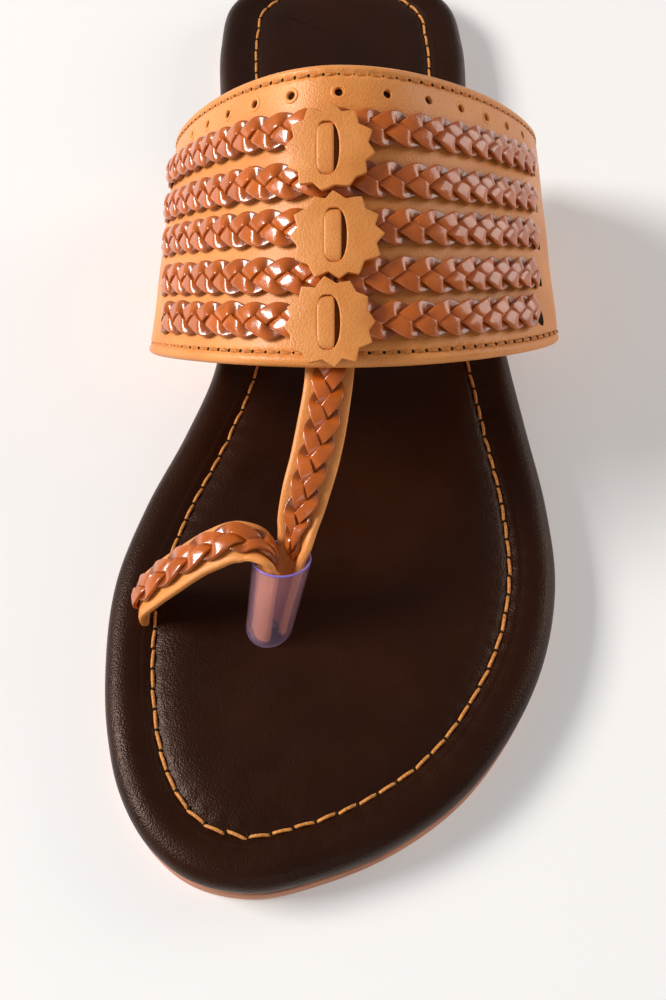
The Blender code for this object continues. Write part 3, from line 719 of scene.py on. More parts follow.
class Tree:
    """A node tree that sets one copy on every marked point, under construction."""

    def __init__(self, name, inputs):
        self.tree = bpy.data.node_groups.new(name, "GeometryNodeTree")
        self.tree.is_modifier = True
        self.named = {}
        self.socket("Geometry", "NodeSocketGeometry")
        self.tree.interface.new_socket(name="Geometry", in_out="OUTPUT", socket_type="NodeSocketGeometry")
        for label, value in inputs.items():
            self.socket(label, "NodeSocketFloat").default_value = value
        self.socket("Material", "NodeSocketMaterial")
        self.given = self.tree.nodes.new("NodeGroupInput").outputs

    def socket(self, label, kind):
        made = self.tree.interface.new_socket(name=label, in_out="INPUT", socket_type=kind)
        self.named[label] = made.identifier
        return made

    def add(self, kind, values, **settings):
        """A node's first output. Its values are numbers, or sockets to link."""
        made = self.tree.nodes.new(kind)
        for key, value in settings.items():
            setattr(made, key, value)
        for socket, value in values.items():
            if isinstance(value, bpy.types.NodeSocket):
                self.tree.links.new(value, made.inputs[socket])
            else:
                made.inputs[socket].default_value = value
        return made.outputs[0]

    def vector(self, x, y, z):
        return self.add("ShaderNodeCombineXYZ", {"X": x, "Y": y, "Z": z})

    def times(self, value, factor):
        return self.add("ShaderNodeMath", {0: value, 1: factor}, operation="MULTIPLY")

    def circle(self, sides, width):
        values = {"Resolution": sides, "Radius": self.times(width, 0.5)}
        return self.add("GeometryNodeCurvePrimitiveCircle", values)

    def tube(self, curve, thickness, caps):
        values = {"Curve": curve, "Profile Curve": self.circle(8, thickness), "Fill Caps": caps}
        return self.add("GeometryNodeCurveToMesh", values)

    def finished(self, copy, wobble, seed):
        """Sets the copy on every point, turned along "along" with its top to "out"."""
        align = "FunctionNodeAlignRotationToVector"
        along, out = (
            self.add("GeometryNodeInputNamedAttribute", {"Name": label}, data_type="FLOAT_VECTOR")
            for label in ("along", "out")
        )
        ahead = self.add(align, {"Vector": along}, axis="X")
        upright = self.add(align, {"Rotation": ahead, "Vector": out}, axis="Z", pivot_axis="X")
        limits = {0: (0.0, 0.0, -wobble), 1: (0.0, 0.0, wobble), "Seed": seed}
        chance = self.add("FunctionNodeRandomValue", limits, data_type="FLOAT_VECTOR")
        twist = self.add("FunctionNodeEulerToRotation", {"Euler": chance})
        both = {"Rotation": upright, "Rotate By": twist}
        turned = self.add("FunctionNodeRotateRotation", both, rotation_space="LOCAL")
        points = self.add("GeometryNodeMeshToPoints", {"Mesh": self.given["Geometry"]})
        copies = {"Points": points, "Instance": copy, "Rotation": turned}
        placed = self.add("GeometryNodeInstanceOnPoints", copies)
        real = self.add("GeometryNodeRealizeInstances", {"Geometry": placed})
        paint = {"Geometry": real, "Material": self.given["Material"]}
        painted = self.add("GeometryNodeSetMaterial", paint)
        output = self.tree.nodes.new("NodeGroupOutput")
        self.tree.links.new(painted, output.inputs["Geometry"])
        return self


def stitch_tree():
    """A thread that rises out of one hole and dips into the next."""
    tree = Tree("stitches", {"Length": 0.0033, "Thickness": 0.0008, "Rise": 0.0004})
    length, thickness, rise = (tree.given[label] for label in ("Length", "Thickness", "Rise"))
    arc = {
        "Resolution": 10,
        "Start": tree.vector(tree.times(length, -0.5), 0.0, tree.times(rise, -0.9)),
        "Middle": tree.vector(0.0, 0.0, tree.times(rise, 1.9)),
        "End": tree.vector(tree.times(length, 0.5), 0.0, tree.times(rise, -0.9)),
    }
    thread = tree.tube(tree.add("GeometryNodeCurveQuadraticBezier", arc), thickness, True)
    return tree.finished(thread, math.radians(5), 7)


def ring_tree():
    """A raised ring round a punched hole."""
    tree = Tree("hole_rims", {"Diameter": 0.0018, "Thickness": 0.0003})
    ring = tree.tube(tree.circle(28, tree.given["Diameter"]), tree.given["Thickness"], False)
    return tree.finished(ring, 0.0, 3)


def pit_tree():
    """A small dark pit of painted shade: at a needle hole, inside a punched hole or at a slit's end."""
    tree = Tree("pits", {"Length": 0.0008, "Width": 0.0008, "Depth": 0.0003})
    ball = tree.add("GeometryNodeMeshUVSphere", {"Segments": 14, "Rings": 8, "Radius": 0.5})
    size = tree.vector(*(tree.given[label] for label in ("Length", "Width", "Depth")))
    pit = tree.add("GeometryNodeTransform", {"Geometry": ball, "Scale": size})
    return tree.finished(pit, 0.0, 5)


def repeated_piece(name, maker, marks, values, material):
    """Runs one of the trees on marks: rows of place, along and out."""
    marks = np.array(marks, float)
    mesh = bpy.data.meshes.new(name)
    mesh.from_pydata(marks[:, 0].tolist(), [], [])
    for label, column in (("along", 1), ("out", 2)):
        attribute = mesh.attributes.new(label, "FLOAT_VECTOR", "POINT")
        attribute.data.foreach_set("vector", marks[:, column].ravel())
    carrier = in_scene(name + "_marks", mesh)
    made = maker()
    modifier = carrier.modifiers.new(name, "NODES")
    modifier.node_group = made.tree
    for label, value in {**values, "Material": material}.items():
        modifier[made.named[label]] = value
    result = evaluated_mesh(carrier)
    carrier.modifiers.remove(modifier)
    bpy.data.objects.remove(carrier)
    bpy.data.node_groups.remove(made.tree)
    for attribute in list(result.attributes):
        if attribute.name in ("along", "out"):
            result.attributes.remove(attribute)
    return new_piece(name, result, material)


# Sole pieces

SHEET_ROUND = 0.0006


def build_outsole():
    outline = sole_outline(sizes().outline_points // 2)
    foot, top = SHEET_ROUND, SHEET_ROUND * 0.6
    high = OUTSOLE_THICKNESS - 0.00005
    steps = [(0.012, 0.0), (0.004, 0.0)]
    for turn in np.radians(np.linspace(90, 0, 5)):
        steps.append((foot * (1 - math.cos(turn)), foot * (1 - math.sin(turn))))
    steps += [(-0.00008, OUTSOLE_THICKNESS * share) for share in (0.35, 0.65)]
    for turn in np.radians(np.linspace(0, 90, 4)):
        steps.append((top * (1 - math.cos(turn)), high - top * (1 - math.sin(turn))))
    steps.append((0.010, high))
    rings = [inset_ring(outline, OUTSOLE_MARGIN + inset, height) for inset, height in steps]
    mesh = mesh_from_grid("outsole_sheet", np.array(rings), caps=(True, True))
    new_piece("outsole_sheet", mesh, outsole_material(), ("outsole",))


def groove_marks(pitch):
    """The footbed's groove: its ring, its run and its count of stitches."""
    ring = inset_ring(sole_outline(sizes().outline_points), STITCH_INSET, FOOTBED_TOP)
    closed = np.vstack([ring, ring[:1]])
    run = run_of(closed)
    return closed, run, round(run[-1] / pitch)


GROOVE_DEPTH = 0.00048
GROOVE_HALF = 0.00105
TROUGH_DEPTH = 0.00080
TROUGH_HALF = 0.0034
SEAM_DROP = GROOVE_DEPTH + TROUGH_DEPTH - 0.00015
PUCKER_DEPTH = 0.00006
PUCKER_REACH = 0.0016
CUSHION_SWELL = 0.00016
SPINE_INSET = 0.030
SPINE_SHARE = 0.985


def footbed_rings(count):
    """Insets and heights of the footbed's section, from its underside to the flat middle."""
    corners = [(inset * STITCH_INSET, height * FOOTBED_THICKNESS, 0) for inset, height in FOOTBED_SECTION]
    rim = smooth_curve(corners, count)
    flat = np.linspace(0.80, 1.75, 34) * STITCH_INSET
    insets = np.concatenate([rim[:, 0], flat])
    heights = np.concatenate([rim[:, 1], np.full(len(flat), FOOTBED_THICKNESS)])
    heights -= GROOVE_DEPTH * bell(insets, STITCH_INSET, GROOVE_HALF)
    heights -= TROUGH_DEPTH * bell(insets, STITCH_INSET, TROUGH_HALF)
    return insets, heights


def build_footbed():
    outline = sole_outline(sizes().outline_points)
    insets, heights = footbed_rings(30)
    base = OUTSOLE_THICKNESS + SEAT_GAP
    _, run, count = groove_marks(sizes().footbed_stitch)
    phase = 2 * math.pi * count * run[:-1] / run[-1]
    draws = np.random.default_rng(11)
    pulls = np.append(draws.uniform(0.3, 1.0, count), 0.6)
    pull = np.interp(run[:-1] / run[-1] * count, np.arange(count + 1), pulls)
    rings = []
    for inset, height in zip(insets, heights):
        ring = inset_ring(outline, inset, base + height)
        away = (inset - STITCH_INSET) / PUCKER_REACH
        pucker = PUCKER_DEPTH * pull * np.cos(phase) * abs(away) * math.exp(0.5 - away**2 / 2)
        ring[:, 2] -= pucker * (1.0 if height > FOOTBED_THICKNESS * 0.7 else 0.0)
        rings.append(ring)
    last = rings[-1]
    toe, heel = y_of(SPINE_INSET), y_of(SOLE_LENGTH - SPINE_INSET)
    spine_y = np.clip(last[:, 1], toe, heel)
    spine_x = np.array([(edge_x(-1, y) + edge_x(1, y)) / 2 for y in spine_y])
    spine = np.stack([spine_x, spine_y, last[:, 2]], axis=1)
    for share in np.linspace(0, 1, 13)[1:]:
        rings.append(last * (1 - share * SPINE_SHARE) + spine * share * SPINE_SHARE)
    grid = np.array(rings)
    top = np.clip((grid[..., 2] - base) / FOOTBED_THICKNESS, 0, 1) ** 4
    grid[..., 2] += top * CUSHION_SWELL * soft_noise(grid, 21, 0.045)
    mesh = mesh_from_grid("padded_footbed", grid, caps=(True, True))
    leather = footbed_leather_material()
    footbed = new_piece("padded_footbed", mesh, leather, ("footbed",), 70)


def build_footbed_stitches():
    ring, run, count = groove_marks(sizes().footbed_stitch)
    middle = (np.arange(count) + 0.5) / count * run[-1]
    places = sampled(ring, run, middle)
    ahead = sampled(ring, run, middle + 0.001)
    places[:, 2] = FOOTBED_TOP - SEAM_DROP
    along = ahead - places
    along[:, 2] = 0
    along = unit(along)
    along[-1] = along[-2]
    out = np.tile([0.0, 0.0, 1.0], (count, 1))
    marks = np.stack([places, along, out], axis=1)
    thread = thread_material("footbed_thread", tuple(colours().footbed_thread))
    length, thickness = sizes().footbed_stitch * 0.94, sizes().thread * 0.92
    values = {"Length": length, "Thickness": thickness, "Rise": 0.00042}
    repeated_piece("footbed_stitches", stitch_tree, marks, values, thread)
    # Dark pits of painted shade stand for the needle holes between the stitches.
    holes = marks.copy()
    holes[:, 0] += (np.roll(places, -1, axis=0) - places) / 2
    holes[:, 0, 2] = FOOTBED_TOP - SEAM_DROP
    pit = {"Length": 0.0006, "Width": 0.0008, "Depth": 0.0005}
    repeated_piece("footbed_needle_hole_shade", pit_tree, holes, pit, painted_shade_material())


# Band

FRONT_STITCH_MARGIN = 0.0025
REAR_STITCH_MARGIN = 0.0021
SEAM_END = 0.010
SEAM_DIP = 0.00026
SEAM_HALF = 0.00055
HEM_ROLL = 0.00016
HEM_HALF = 0.0008
FRONT_HEM = 0.0012
REAR_HEM = 0.0010
SEAM_RIPPLE = 0.00007
RIPPLE_HALF = 0.0009
PLAIT_BED_DEPTH = 0.00020
PLAIT_BED_HALF = 0.0034
BAND_SLACK = 0.00018


def band_relief(share, reach):
    """Height of the band's outer face over its plain sheet: seams, hems and plait beds."""
    front = share * BAND_LENGTH
    rear = BAND_LENGTH - front
    relief = -SEAM_DIP * bell(front, FRONT_STITCH_MARGIN, SEAM_HALF)
    relief -= SEAM_DIP * bell(rear, REAR_STITCH_MARGIN, SEAM_HALF)
    relief += HEM_ROLL * bell(front, FRONT_HEM, HEM_HALF)
    relief += HEM_ROLL * bell(rear, REAR_HEM, HEM_HALF)
    for margin in PLAIT_MARGINS:
        start, end = plait_span(margin / BAND_LENGTH)
        begun = np.clip((reach - start + 0.002) / 0.003, 0, 1)
        inside = begun * np.clip((end + 0.002 - reach) / 0.003, 0, 1)
        relief -= PLAIT_BED_DEPTH * inside * np.exp(-(((front - margin) / PLAIT_BED_HALF) ** 4))
    return relief


def band_shares():
    """Shares of the band's length: close together at the hems and the seams."""
    edge = np.array([0.0, 0.00004, 0.00015, 0.00032, 0.00055, 0.0008, 0.0011])
    seam = np.arange(0.0014, 0.0042, 0.00022)
    middle = np.linspace(0.0046, BAND_LENGTH - 0.0046, 62)
    inset = np.concatenate([edge, seam])
    return np.concatenate([inset, middle, BAND_LENGTH - inset[::-1]]) / BAND_LENGTH


def build_band():
    sheet = band_sheet()
    share, reach = np.meshgrid(band_shares(), sheet.reaches, indexing="ij")
    relief = band_relief(share, reach)
    front, rear = share * BAND_LENGTH, BAND_LENGTH * (1 - share)
    ripple = np.cos(2 * math.pi * reach / sizes().band_stitch)
    relief += SEAM_RIPPLE * ripple * bell(front, FRONT_STITCH_MARGIN, RIPPLE_HALF)
    relief += SEAM_RIPPLE * ripple * bell(rear, REAR_STITCH_MARGIN, RIPPLE_HALF)
    edge = np.minimum(front, rear)
    half = BAND_THICKNESS / 2
    swell = np.where(edge < half, np.sqrt(np.clip(1 - (1 - edge / half) ** 2, 0, 1)), 1.0)
    outer = sheet.at(share, reach, relief * swell - half * (1 - swell))
    slack = BAND_SLACK * soft_noise(outer, 31, 0.030)
    outer = sheet.at(share, reach, (relief + slack) * swell - half * (1 - swell))
    inner = sheet.at(share, reach, -BAND_THICKNESS + half * (1 - swell))
    grid = np.concatenate([outer, inner[:, ::-1]], axis=1)
    band = in_scene("leather_band_uncut", closed_mesh("leather_band", grid, 1e-6))
    cutter = hole_cutter()
    cut = band.modifiers.new("punched_holes", "BOOLEAN")
    cut.operation = "DIFFERENCE"
    cut.solver = "EXACT"
    cut.object = cutter
    result = evaluated_mesh(band)
    bpy.data.objects.remove(band)
    bpy.data.objects.remove(cutter)
    new_piece("leather_band", result, tan_leather_material(), ("instep_band",), 60)


def hole_places():
    reach = (np.arange(HOLE_COUNT) - (HOLE_COUNT - 1) / 2) * HOLE_PITCH + HOLE_SHIFT
    return np.full(HOLE_COUNT, 1 - HOLE_MARGIN / BAND_LENGTH), reach


def hole_cutter():
    share, reach = hole_places()
    low = band_sheet().at(share, reach, -BAND_THICKNESS * 2)
    high = band_sheet().at(share, reach, BAND_THICKNESS)
    shape = bmesh.new()
    for start, end in zip(low, high):
        made = bmesh.ops.create_cone(
            shape,
            cap_ends=True,
            segments=20,
            radius1=HOLE_DIAMETER / 2,
            radius2=HOLE_DIAMETER / 2,
            depth=float(np.linalg.norm(end - start)),
        )
        turn = Vector(end - start).to_track_quat("Z", "Y").to_matrix()
        bmesh.ops.rotate(shape, verts=made["verts"], matrix=turn)
        bmesh.ops.translate(shape, verts=made["verts"], vec=(start + end) / 2)
    mesh = bpy.data.meshes.new("hole_cutter")
    shape.to_mesh(mesh)
    shape.free()
    return in_scene("hole_cutter", mesh)


def band_marks(share, reach, height):
    """Marks on the band: place, direction along the seam and outward direction."""
    sheet = band_sheet()
    places = sheet.at(share, reach, height)
    along = unit(sheet.at(share, reach + 0.0005, height) - sheet.at(share, reach - 0.0005, height))
    out = unit(sheet.at(share, reach, height + 0.001) - places)
    return np.stack([places, along, out], axis=1)


def build_band_stitches():
    pitch = sizes().band_stitch
    sheet = band_sheet()
    thread = thread_material("band_thread", tuple(colours().band_thread))
    hole = painted_shade_material()
    low, high = SEAM_END - sheet.length[-1], sheet.length[1] - SEAM_END
    count = int((high - low) / pitch)
    reach = (np.arange(count) + 0.5) * pitch + math.ceil(low / pitch) * pitch
    reach = reach[reach < high]
    for name, share in (
        ("front", FRONT_STITCH_MARGIN / BAND_LENGTH),
        ("rear", 1 - REAR_STITCH_MARGIN / BAND_LENGTH),
    ):
        seam = np.full(len(reach), share)
        marks = band_marks(seam, reach, np.full(len(reach), -0.00030))
        values = {"Length": pitch * 0.92, "Thickness": sizes().thread, "Rise": 0.00030}
        repeated_piece(f"band_stitches_{name}", stitch_tree, marks, values, thread)
        # Dark pits of painted shade stand for the needle holes between the stitches.
        marks = band_marks(seam, reach + pitch / 2, np.full(len(reach), -0.00024))
        values = {"Length": 0.00070, "Width": 0.00090, "Depth": 0.00060}
        repeated_piece(f"band_needle_holes_{name}", pit_tree, marks, values, hole)


def build_hole_rims():
    share, reach = hole_places()
    zero = np.zeros(HOLE_COUNT)
    rim = tan_leather_material("hole_rim_leather", 0.5, 1.12, 0.5)
    marks = band_marks(share, reach, zero - 0.00038)
    values = {"Diameter": HOLE_DIAMETER + 0.0007, "Thickness": sizes().hole_rim}
    repeated_piece("punched_hole_rims", ring_tree, marks, values, rim)
    # A dark pit of painted shade sits inside each punched hole.
    marks = band_marks(share, reach, zero - BAND_THICKNESS * 0.62)
    values = {"Length": HOLE_DIAMETER * 1.1, "Width": HOLE_DIAMETER * 1.1, "Depth": 0.0012}
    repeated_piece("punched_hole_shade", pit_tree, marks, values, painted_shade_material())


# Plaits

STRAND_LIFT = 0.00050
STRAND_STRAIGHT = 0.75
STRAND_STEP = 1.6
STRAND_TILT = (-0.10, 0.12)
STRAND_SIDES = 18
PLAIT_MIDDLE = 0.00105
PLAIT_SLACK = 0.89
PLAIT_SHORT = 0.0028
PLAIT_PHASE = 0.0011
PLAIT_STEPS = 54  # in one period of a strand
TURN_DRIFT, TURN_DRIFT_RUN = 0.10, 0.013
SWING_DRIFT, SWING_DRIFT_RUN = 0.05, 0.021
PINCH_RUN = 0.0085
DIVE_RUN = 0.0030
SLIT_SHIFT = 0.0011


def strand_section(width, thickness):
    """A flat strand's section with round edges, as (sideways, upwards) pairs."""
    turns = round_turns(STRAND_SIDES) + math.pi / STRAND_SIDES
    side = squared(np.cos(turns), 0.38) * width / 2
    up = squared(np.sin(turns), 0.32) * thickness / 2
    up += thickness * 0.05 * (1 - (side / (width / 2)) ** 2)
    return side, up


def plait_mesh(name, place, width, start, end, way=1, scale=1.0, sink=0.0016, seed=0, pinch=0.0):
    """Three flat strands plaited from start to end, on a carrier's place(run, side, height)."""
    period = PLAIT_PITCH * 3 * scale
    strand = sizes().strand_width * width / PLAIT_WIDTH
    swing = (width - strand) / 2
    run = np.linspace(start, end, int((end - start) / period * PLAIT_STEPS) + 1)
    draws = np.random.default_rng(seed)
    side, up = strand_section(strand, sizes().strand_thickness)
    near = np.minimum(run - start, end - run)
    room = 1 - pinch * (1 - np.clip(near / PINCH_RUN, 0, 1)) ** 2
    dive = sink * (1 - np.clip(near / DIVE_RUN, 0, 1)) ** 2
    meshes, dive_shades = [], []
    for number in range(3):
        turn = 2 * math.pi * (run - start) / period + number * 2 * math.pi / 3
        turn += TURN_DRIFT * np.sin(run / TURN_DRIFT_RUN + draws.uniform(0, 6))
        loose = 1 + SWING_DRIFT * np.sin(run / SWING_DRIFT_RUN + draws.uniform(0, 6))
        lateral = swing * loose * np.arcsin(STRAND_STRAIGHT * np.sin(turn)) / math.asin(STRAND_STRAIGHT)
        step = np.tanh(STRAND_STEP * np.sin(2 * turn)) / math.tanh(STRAND_STEP)
        height = PLAIT_MIDDLE + way * STRAND_LIFT * step
        tilt = way * (STRAND_TILT[0] * np.cos(turn) + STRAND_TILT[1] * np.cos(3 * turn))
        lateral = lateral * room
        slope = np.gradient(lateral, run)
        length = np.sqrt(1 + slope**2)
        across_run, across_side = -slope / length, 1 / length
        height = height - dive
        flat = side * room[:, None]
        rows_run = run[:, None] + across_run[:, None] * flat
        rows_side = lateral[:, None] + across_side[:, None] * flat
        rows_up = height[:, None] + up + tilt[:, None] * across_side[:, None] * side
        grid = place(rows_run, rows_side, rows_up)
        meshes.append(mesh_from_grid(name, grid, caps=(True, True)))
        # Marks each point for painted shade: 1 where the strand dives under its neighbour, 0 where it rides
        # on top.
        dive_shades.append(np.broadcast_to(0.5 - 0.5 * way * step[:, None], rows_up.shape).ravel())
    joined = join_meshes(name, meshes)
    shade_mark = joined.attributes.new("dive_shade", "FLOAT", "POINT")
    shade_mark.data.foreach_set("value", np.concatenate(dive_shades).astype(np.float32))
    return joined


def build_band_plaits():
    sheet = band_sheet()
    glossy = braid_leather_material()
    ends = []
    for number, margin in enumerate(PLAIT_MARGINS, start=1):
        share = margin / BAND_LENGTH
        start, end = plait_span(share)
        end -= PLAIT_SHORT

        def on_band(run, side, height, share=share):
            return sheet.at(share + side / BAND_LENGTH, run, height)

        name = f"braid_row_{number}"
        phase = PLAIT_PHASE * number
        mesh = plait_mesh(name, on_band, PLAIT_WIDTH * PLAIT_SLACK, start - phase, end, seed=number)
        new_piece(name, mesh, glossy, (f"plait_row_{number}",), 60)
        ends += [(share, start - SLIT_SHIFT - phase), (share, end + SLIT_SHIFT)]
    # Dark pits of painted shade stand for the slits where each plait dives into the band.
    share, reach = np.array(ends).T
    marks = band_marks(share, reach, np.full(len(reach), -0.00028))
    values = {"Length": 0.0032, "Width": PLAIT_WIDTH * 0.84, "Depth": 0.0009}
    repeated_piece("braid_slit_shade", pit_tree, marks, values, painted_shade_material())


# Stars and their keepers

STAR_RIM = 0.00009
TOOTH_HOLLOW = 0.150
TOOTH_LIFT = 0.00034
TOOTH_UNEVEN = (-0.040, 0.024)
TOOTH_SKEW = 0.065
SLOT_TIGHT = 0.00025
KEEPER_THICKNESS = 0.00100
SLOT_BED, SLOT_BED_FOOT = -0.0004, -0.0007


class StarSeat:
    """A gently bent sheet over the plaits at the crown."""

    def __init__(self, margin, shift):
        sheet = band_sheet()
        share, step = margin / BAND_LENGTH, 0.01
        self.centre = sheet.at(share, shift, PLAIT_SEAT + PLAIT_HEIGHT + SEAT_GAP * 2)
        along = sheet.at(share + step, shift, 0.0) - sheet.at(share - step, shift, 0.0)
        reach = STAR_DIAMETER / 2
        across = sheet.at(share, shift + reach, 0.0) - sheet.at(share, shift - reach, 0.0)
        self.along = unit(along)
        self.across = unit(across - self.along * across.dot(self.along))
        self.normal = np.cross(self.across, self.along)

    def place(self, across, along, height):
        across, along, height = np.broadcast_arrays(across, along, height)
        turn = across / STAR_BEND_RADIUS
        radius = STAR_BEND_RADIUS + height
        up = radius * np.cos(turn) - STAR_BEND_RADIUS
        return (
            self.centre
            + (radius * np.sin(turn))[..., None] * self.across
            + along[..., None] * self.along
            + up[..., None] * self.normal
        )


def star_edge(count, degrees):
    """The star's outline: pointed teeth with hollow flanks."""
    turn = 2 * math.pi * np.arange(count) / count
    tooth = turn * STAR_TEETH / (2 * math.pi) % 1.0
    away = np.minimum(tooth, 1 - tooth) * 2
    radius = STAR_DIAMETER / 2 * (1.0 - TOOTH_HOLLOW * (1 - (1 - away) ** 1.25))
    turn = turn + math.radians(degrees)
    draws = np.random.default_rng(int(degrees * 10) + 90)
    corner = np.arange(STAR_TEETH * 2 + 1) / 2
    uneven = draws.uniform(*TOOTH_UNEVEN, STAR_TEETH * 2 + 1)
    uneven[-1] = uneven[0]
    teeth = np.arange(count) / count * STAR_TEETH
    radius = radius * (1 + np.interp(teeth, corner, uneven))
    skew = draws.uniform(-TOOTH_SKEW, TOOTH_SKEW, STAR_TEETH + 1)
    skew[-1] = skew[0]
    turn = turn + np.interp(teeth, np.arange(STAR_TEETH + 1), skew)
    return np.stack([np.sin(turn) * radius, np.cos(turn) * radius], axis=1)


def slot_edge(count, grow=0.0):
    """The slot is flat on its keeper's side and bowed on the other."""
    turn = 2 * math.pi * np.arange(count) / count
    across, along = np.sin(turn), np.cos(turn)
    bow = np.where(across > 0, 0.95, 0.42)
    half = np.where(across > 0, SLOT_WIDTH / 2 - SLOT_TIGHT, SLOT_WIDTH / 2) + grow
    across = squared(across, bow) * half
    along = squared(along, 0.86) * (SLOT_LENGTH / 2 + grow)
    return np.stack([across, along], axis=1)


def build_star(number, leather):
    margin, shift, degrees = STAR_MARGINS[number], STAR_SHIFTS[number], STAR_TURNS[number]
    seat = StarSeat(margin, shift)
    count = STAR_TEETH * 18
    outer, inner = star_edge(count, degrees), slot_edge(count)
    draws = np.random.default_rng(40 + number)
    lift = np.append(draws.uniform(-1, 1, STAR_TEETH), 0)
    lift[-1] = lift[0]
    tooth_lift = np.interp(np.arange(count) / count * STAR_TEETH, np.arange(STAR_TEETH + 1), lift)

    def row(mix, height, inset):
        pairs = inner * (1 - mix) + outer * mix
        pairs = pairs - unit(outer - inner) * inset
        reach = np.linalg.norm(pairs, axis=1) / (STAR_DIAMETER / 2)
        rise = height + TOOTH_LIFT * tooth_lift * np.clip(reach - 0.55, 0, 1) / 0.45
        return seat.place(pairs[:, 0], pairs[:, 1], rise)

    steps = [
        *((mix, 0.0, 0.0) for mix in np.linspace(0.0, 1.0, 13)[1:-1]),
        (1.0, 0.0, STAR_RIM),
        (1.0, STAR_RIM * 0.8, 0.0),
        (1.0, STAR_THICKNESS * 0.55, -0.00004),
        (1.0, STAR_THICKNESS - STAR_RIM, 0.0),
        (1.0, STAR_THICKNESS, STAR_RIM),
        *((mix, STAR_THICKNESS, 0.0) for mix in np.linspace(1.0, 0.0, 15)[1:-1]),
        (0.0, STAR_THICKNESS, -STAR_RIM),
        (0.0, STAR_THICKNESS - STAR_RIM, 0.0),
        (0.0, STAR_RIM, 0.0),
    ]
    grid = np.array([row(*step) for step in steps])
    mesh = closed_mesh("leather_star", grid, closed_run=True)
    name = f"leather_star_{number + 1}"
    new_piece(name, mesh, leather, (f"star_{number + 1}",), 55)
    return seat


def build_keeper(number, seat, leather):
    """The strip that rises through the slot at one end and dives back at the other."""
    inside = SLOT_LENGTH / 2 - SEAT_GAP / 3
    side_shift = -(SLOT_WIDTH - TAB_WIDTH) / 2 - 0.00005
    run = np.linspace(-1, 1, 41)
    lift = STAR_THICKNESS * (1.12 - 0.08 * run**2 - 0.55 * np.abs(run) ** 8)
    wide = TAB_WIDTH / 2 * (1 - 0.22 * np.abs(run) ** 10)
    turns = round_turns(24)
    side, up = squared(np.cos(turns), 0.35), squared(np.sin(turns), 0.45)
    across = side_shift + wide[:, None] * side
    height = lift[:, None] - KEEPER_THICKNESS / 2 + up * KEEPER_THICKNESS / 2
    along = np.broadcast_to((run * inside)[:, None], across.shape)
    grid = seat.place(across, along, height)
    mesh = closed_mesh("star_keeper", grid, caps=(True, True))
    new_piece(f"star_keeper_{number + 1}", mesh, leather, (f"star_tab_{number + 1}",), 50)


def build_slot_floor(number, seat):
    """The bed that shows beside the keeper: the leather under the slot, coloured dark brown as painted
    shade.
    """
    half = slot_edge(64, 0.0002)
    steps = [(share, SLOT_BED) for share in (0.02, 0.5, 1.0)]
    steps += [(share, SLOT_BED_FOOT) for share in (1.0, 0.02)]
    grid = np.array([seat.place(*(half.T * share), height) for share, height in steps])
    mesh = closed_mesh("slot_bed_shade", grid, closed_run=True)
    # Painted shade: the leather under the star is given a shaded brown.
    bed = painted_shade_material("slot_bed_shade", (0.26, 0.085, 0.020))
    new_piece(f"slot_bed_shade_{number + 1}", mesh, bed)


# Toe straps

STRAP_SLACK = 0.93
STRAP_PINCH = 0.42
STRAP_DIVE = 0.0011
STRAP_BED = 0.00012


def sleeve_axis(height):
    foot = (SLEEVE_FOOT[0] * BALL_WIDTH, y_of(SLEEVE_FOOT[1] * SOLE_LENGTH), FOOTBED_TOP + SEAT_GAP)
    return np.array(foot) + np.array([*SLEEVE_LEAN, 1.0]) * height


SLEEVE_HEIGHT = SLEEVE_LENGTH / float(np.linalg.norm([*SLEEVE_LEAN, 1.0]))


def up_sleeve(pair, height):
    """A value between the sleeve's foot and its mouth."""
    return between(pair, min(1.0, max(0.0, height / SLEEVE_HEIGHT)))


def sleeve_radius(height):
    return up_sleeve((SLEEVE_FOOT_DIAMETER, SLEEVE_MOUTH_DIAMETER), height) / 2


def sleeve_station(seat, height):
    turn = math.radians(seat)
    room = sleeve_radius(height) - SLEEVE_WALL - SEAT_GAP * 2 - STRAP_THICKNESS / 2
    place = sleeve_axis(height) + np.array([math.cos(turn), math.sin(turn), 0.0]) * room
    return (*place, seat - 90.0, 1 / room, up_sleeve(STRAP_NECK, height))


def strap_rows(table, seat, count):
    bend = sleeve_station(seat, SLEEVE_HEIGHT)[4]
    stations = [
        (
            across * BALL_WIDTH,
            y_of(along * SOLE_LENGTH),
            FOOTBED_TOP + height * BAND_FRONT_HEIGHT,
            facing,
            curl * bend,
            1.0,
        )
        for across, along, height, facing, curl in table
    ]
    heights = (SLEEVE_HEIGHT + STRAP_THICKNESS, SLEEVE_HEIGHT, SLEEVE_HEIGHT / 2, 0.0, -STRAP_SUNK)
    stations += [sleeve_station(seat, height) for height in heights]
    return smooth_curve(stations, count)


def eased(values, reach):
    """A row of numbers with its corners rounded off."""
    padded = np.concatenate([np.full(reach, values[0]), values, np.full(reach, values[-1])])
    return np.convolve(padded, np.ones(2 * reach + 1) / (2 * reach + 1), "valid")


def eased_rows(rows, reach):
    return np.stack([eased(column, reach) for column in rows.T], axis=1)


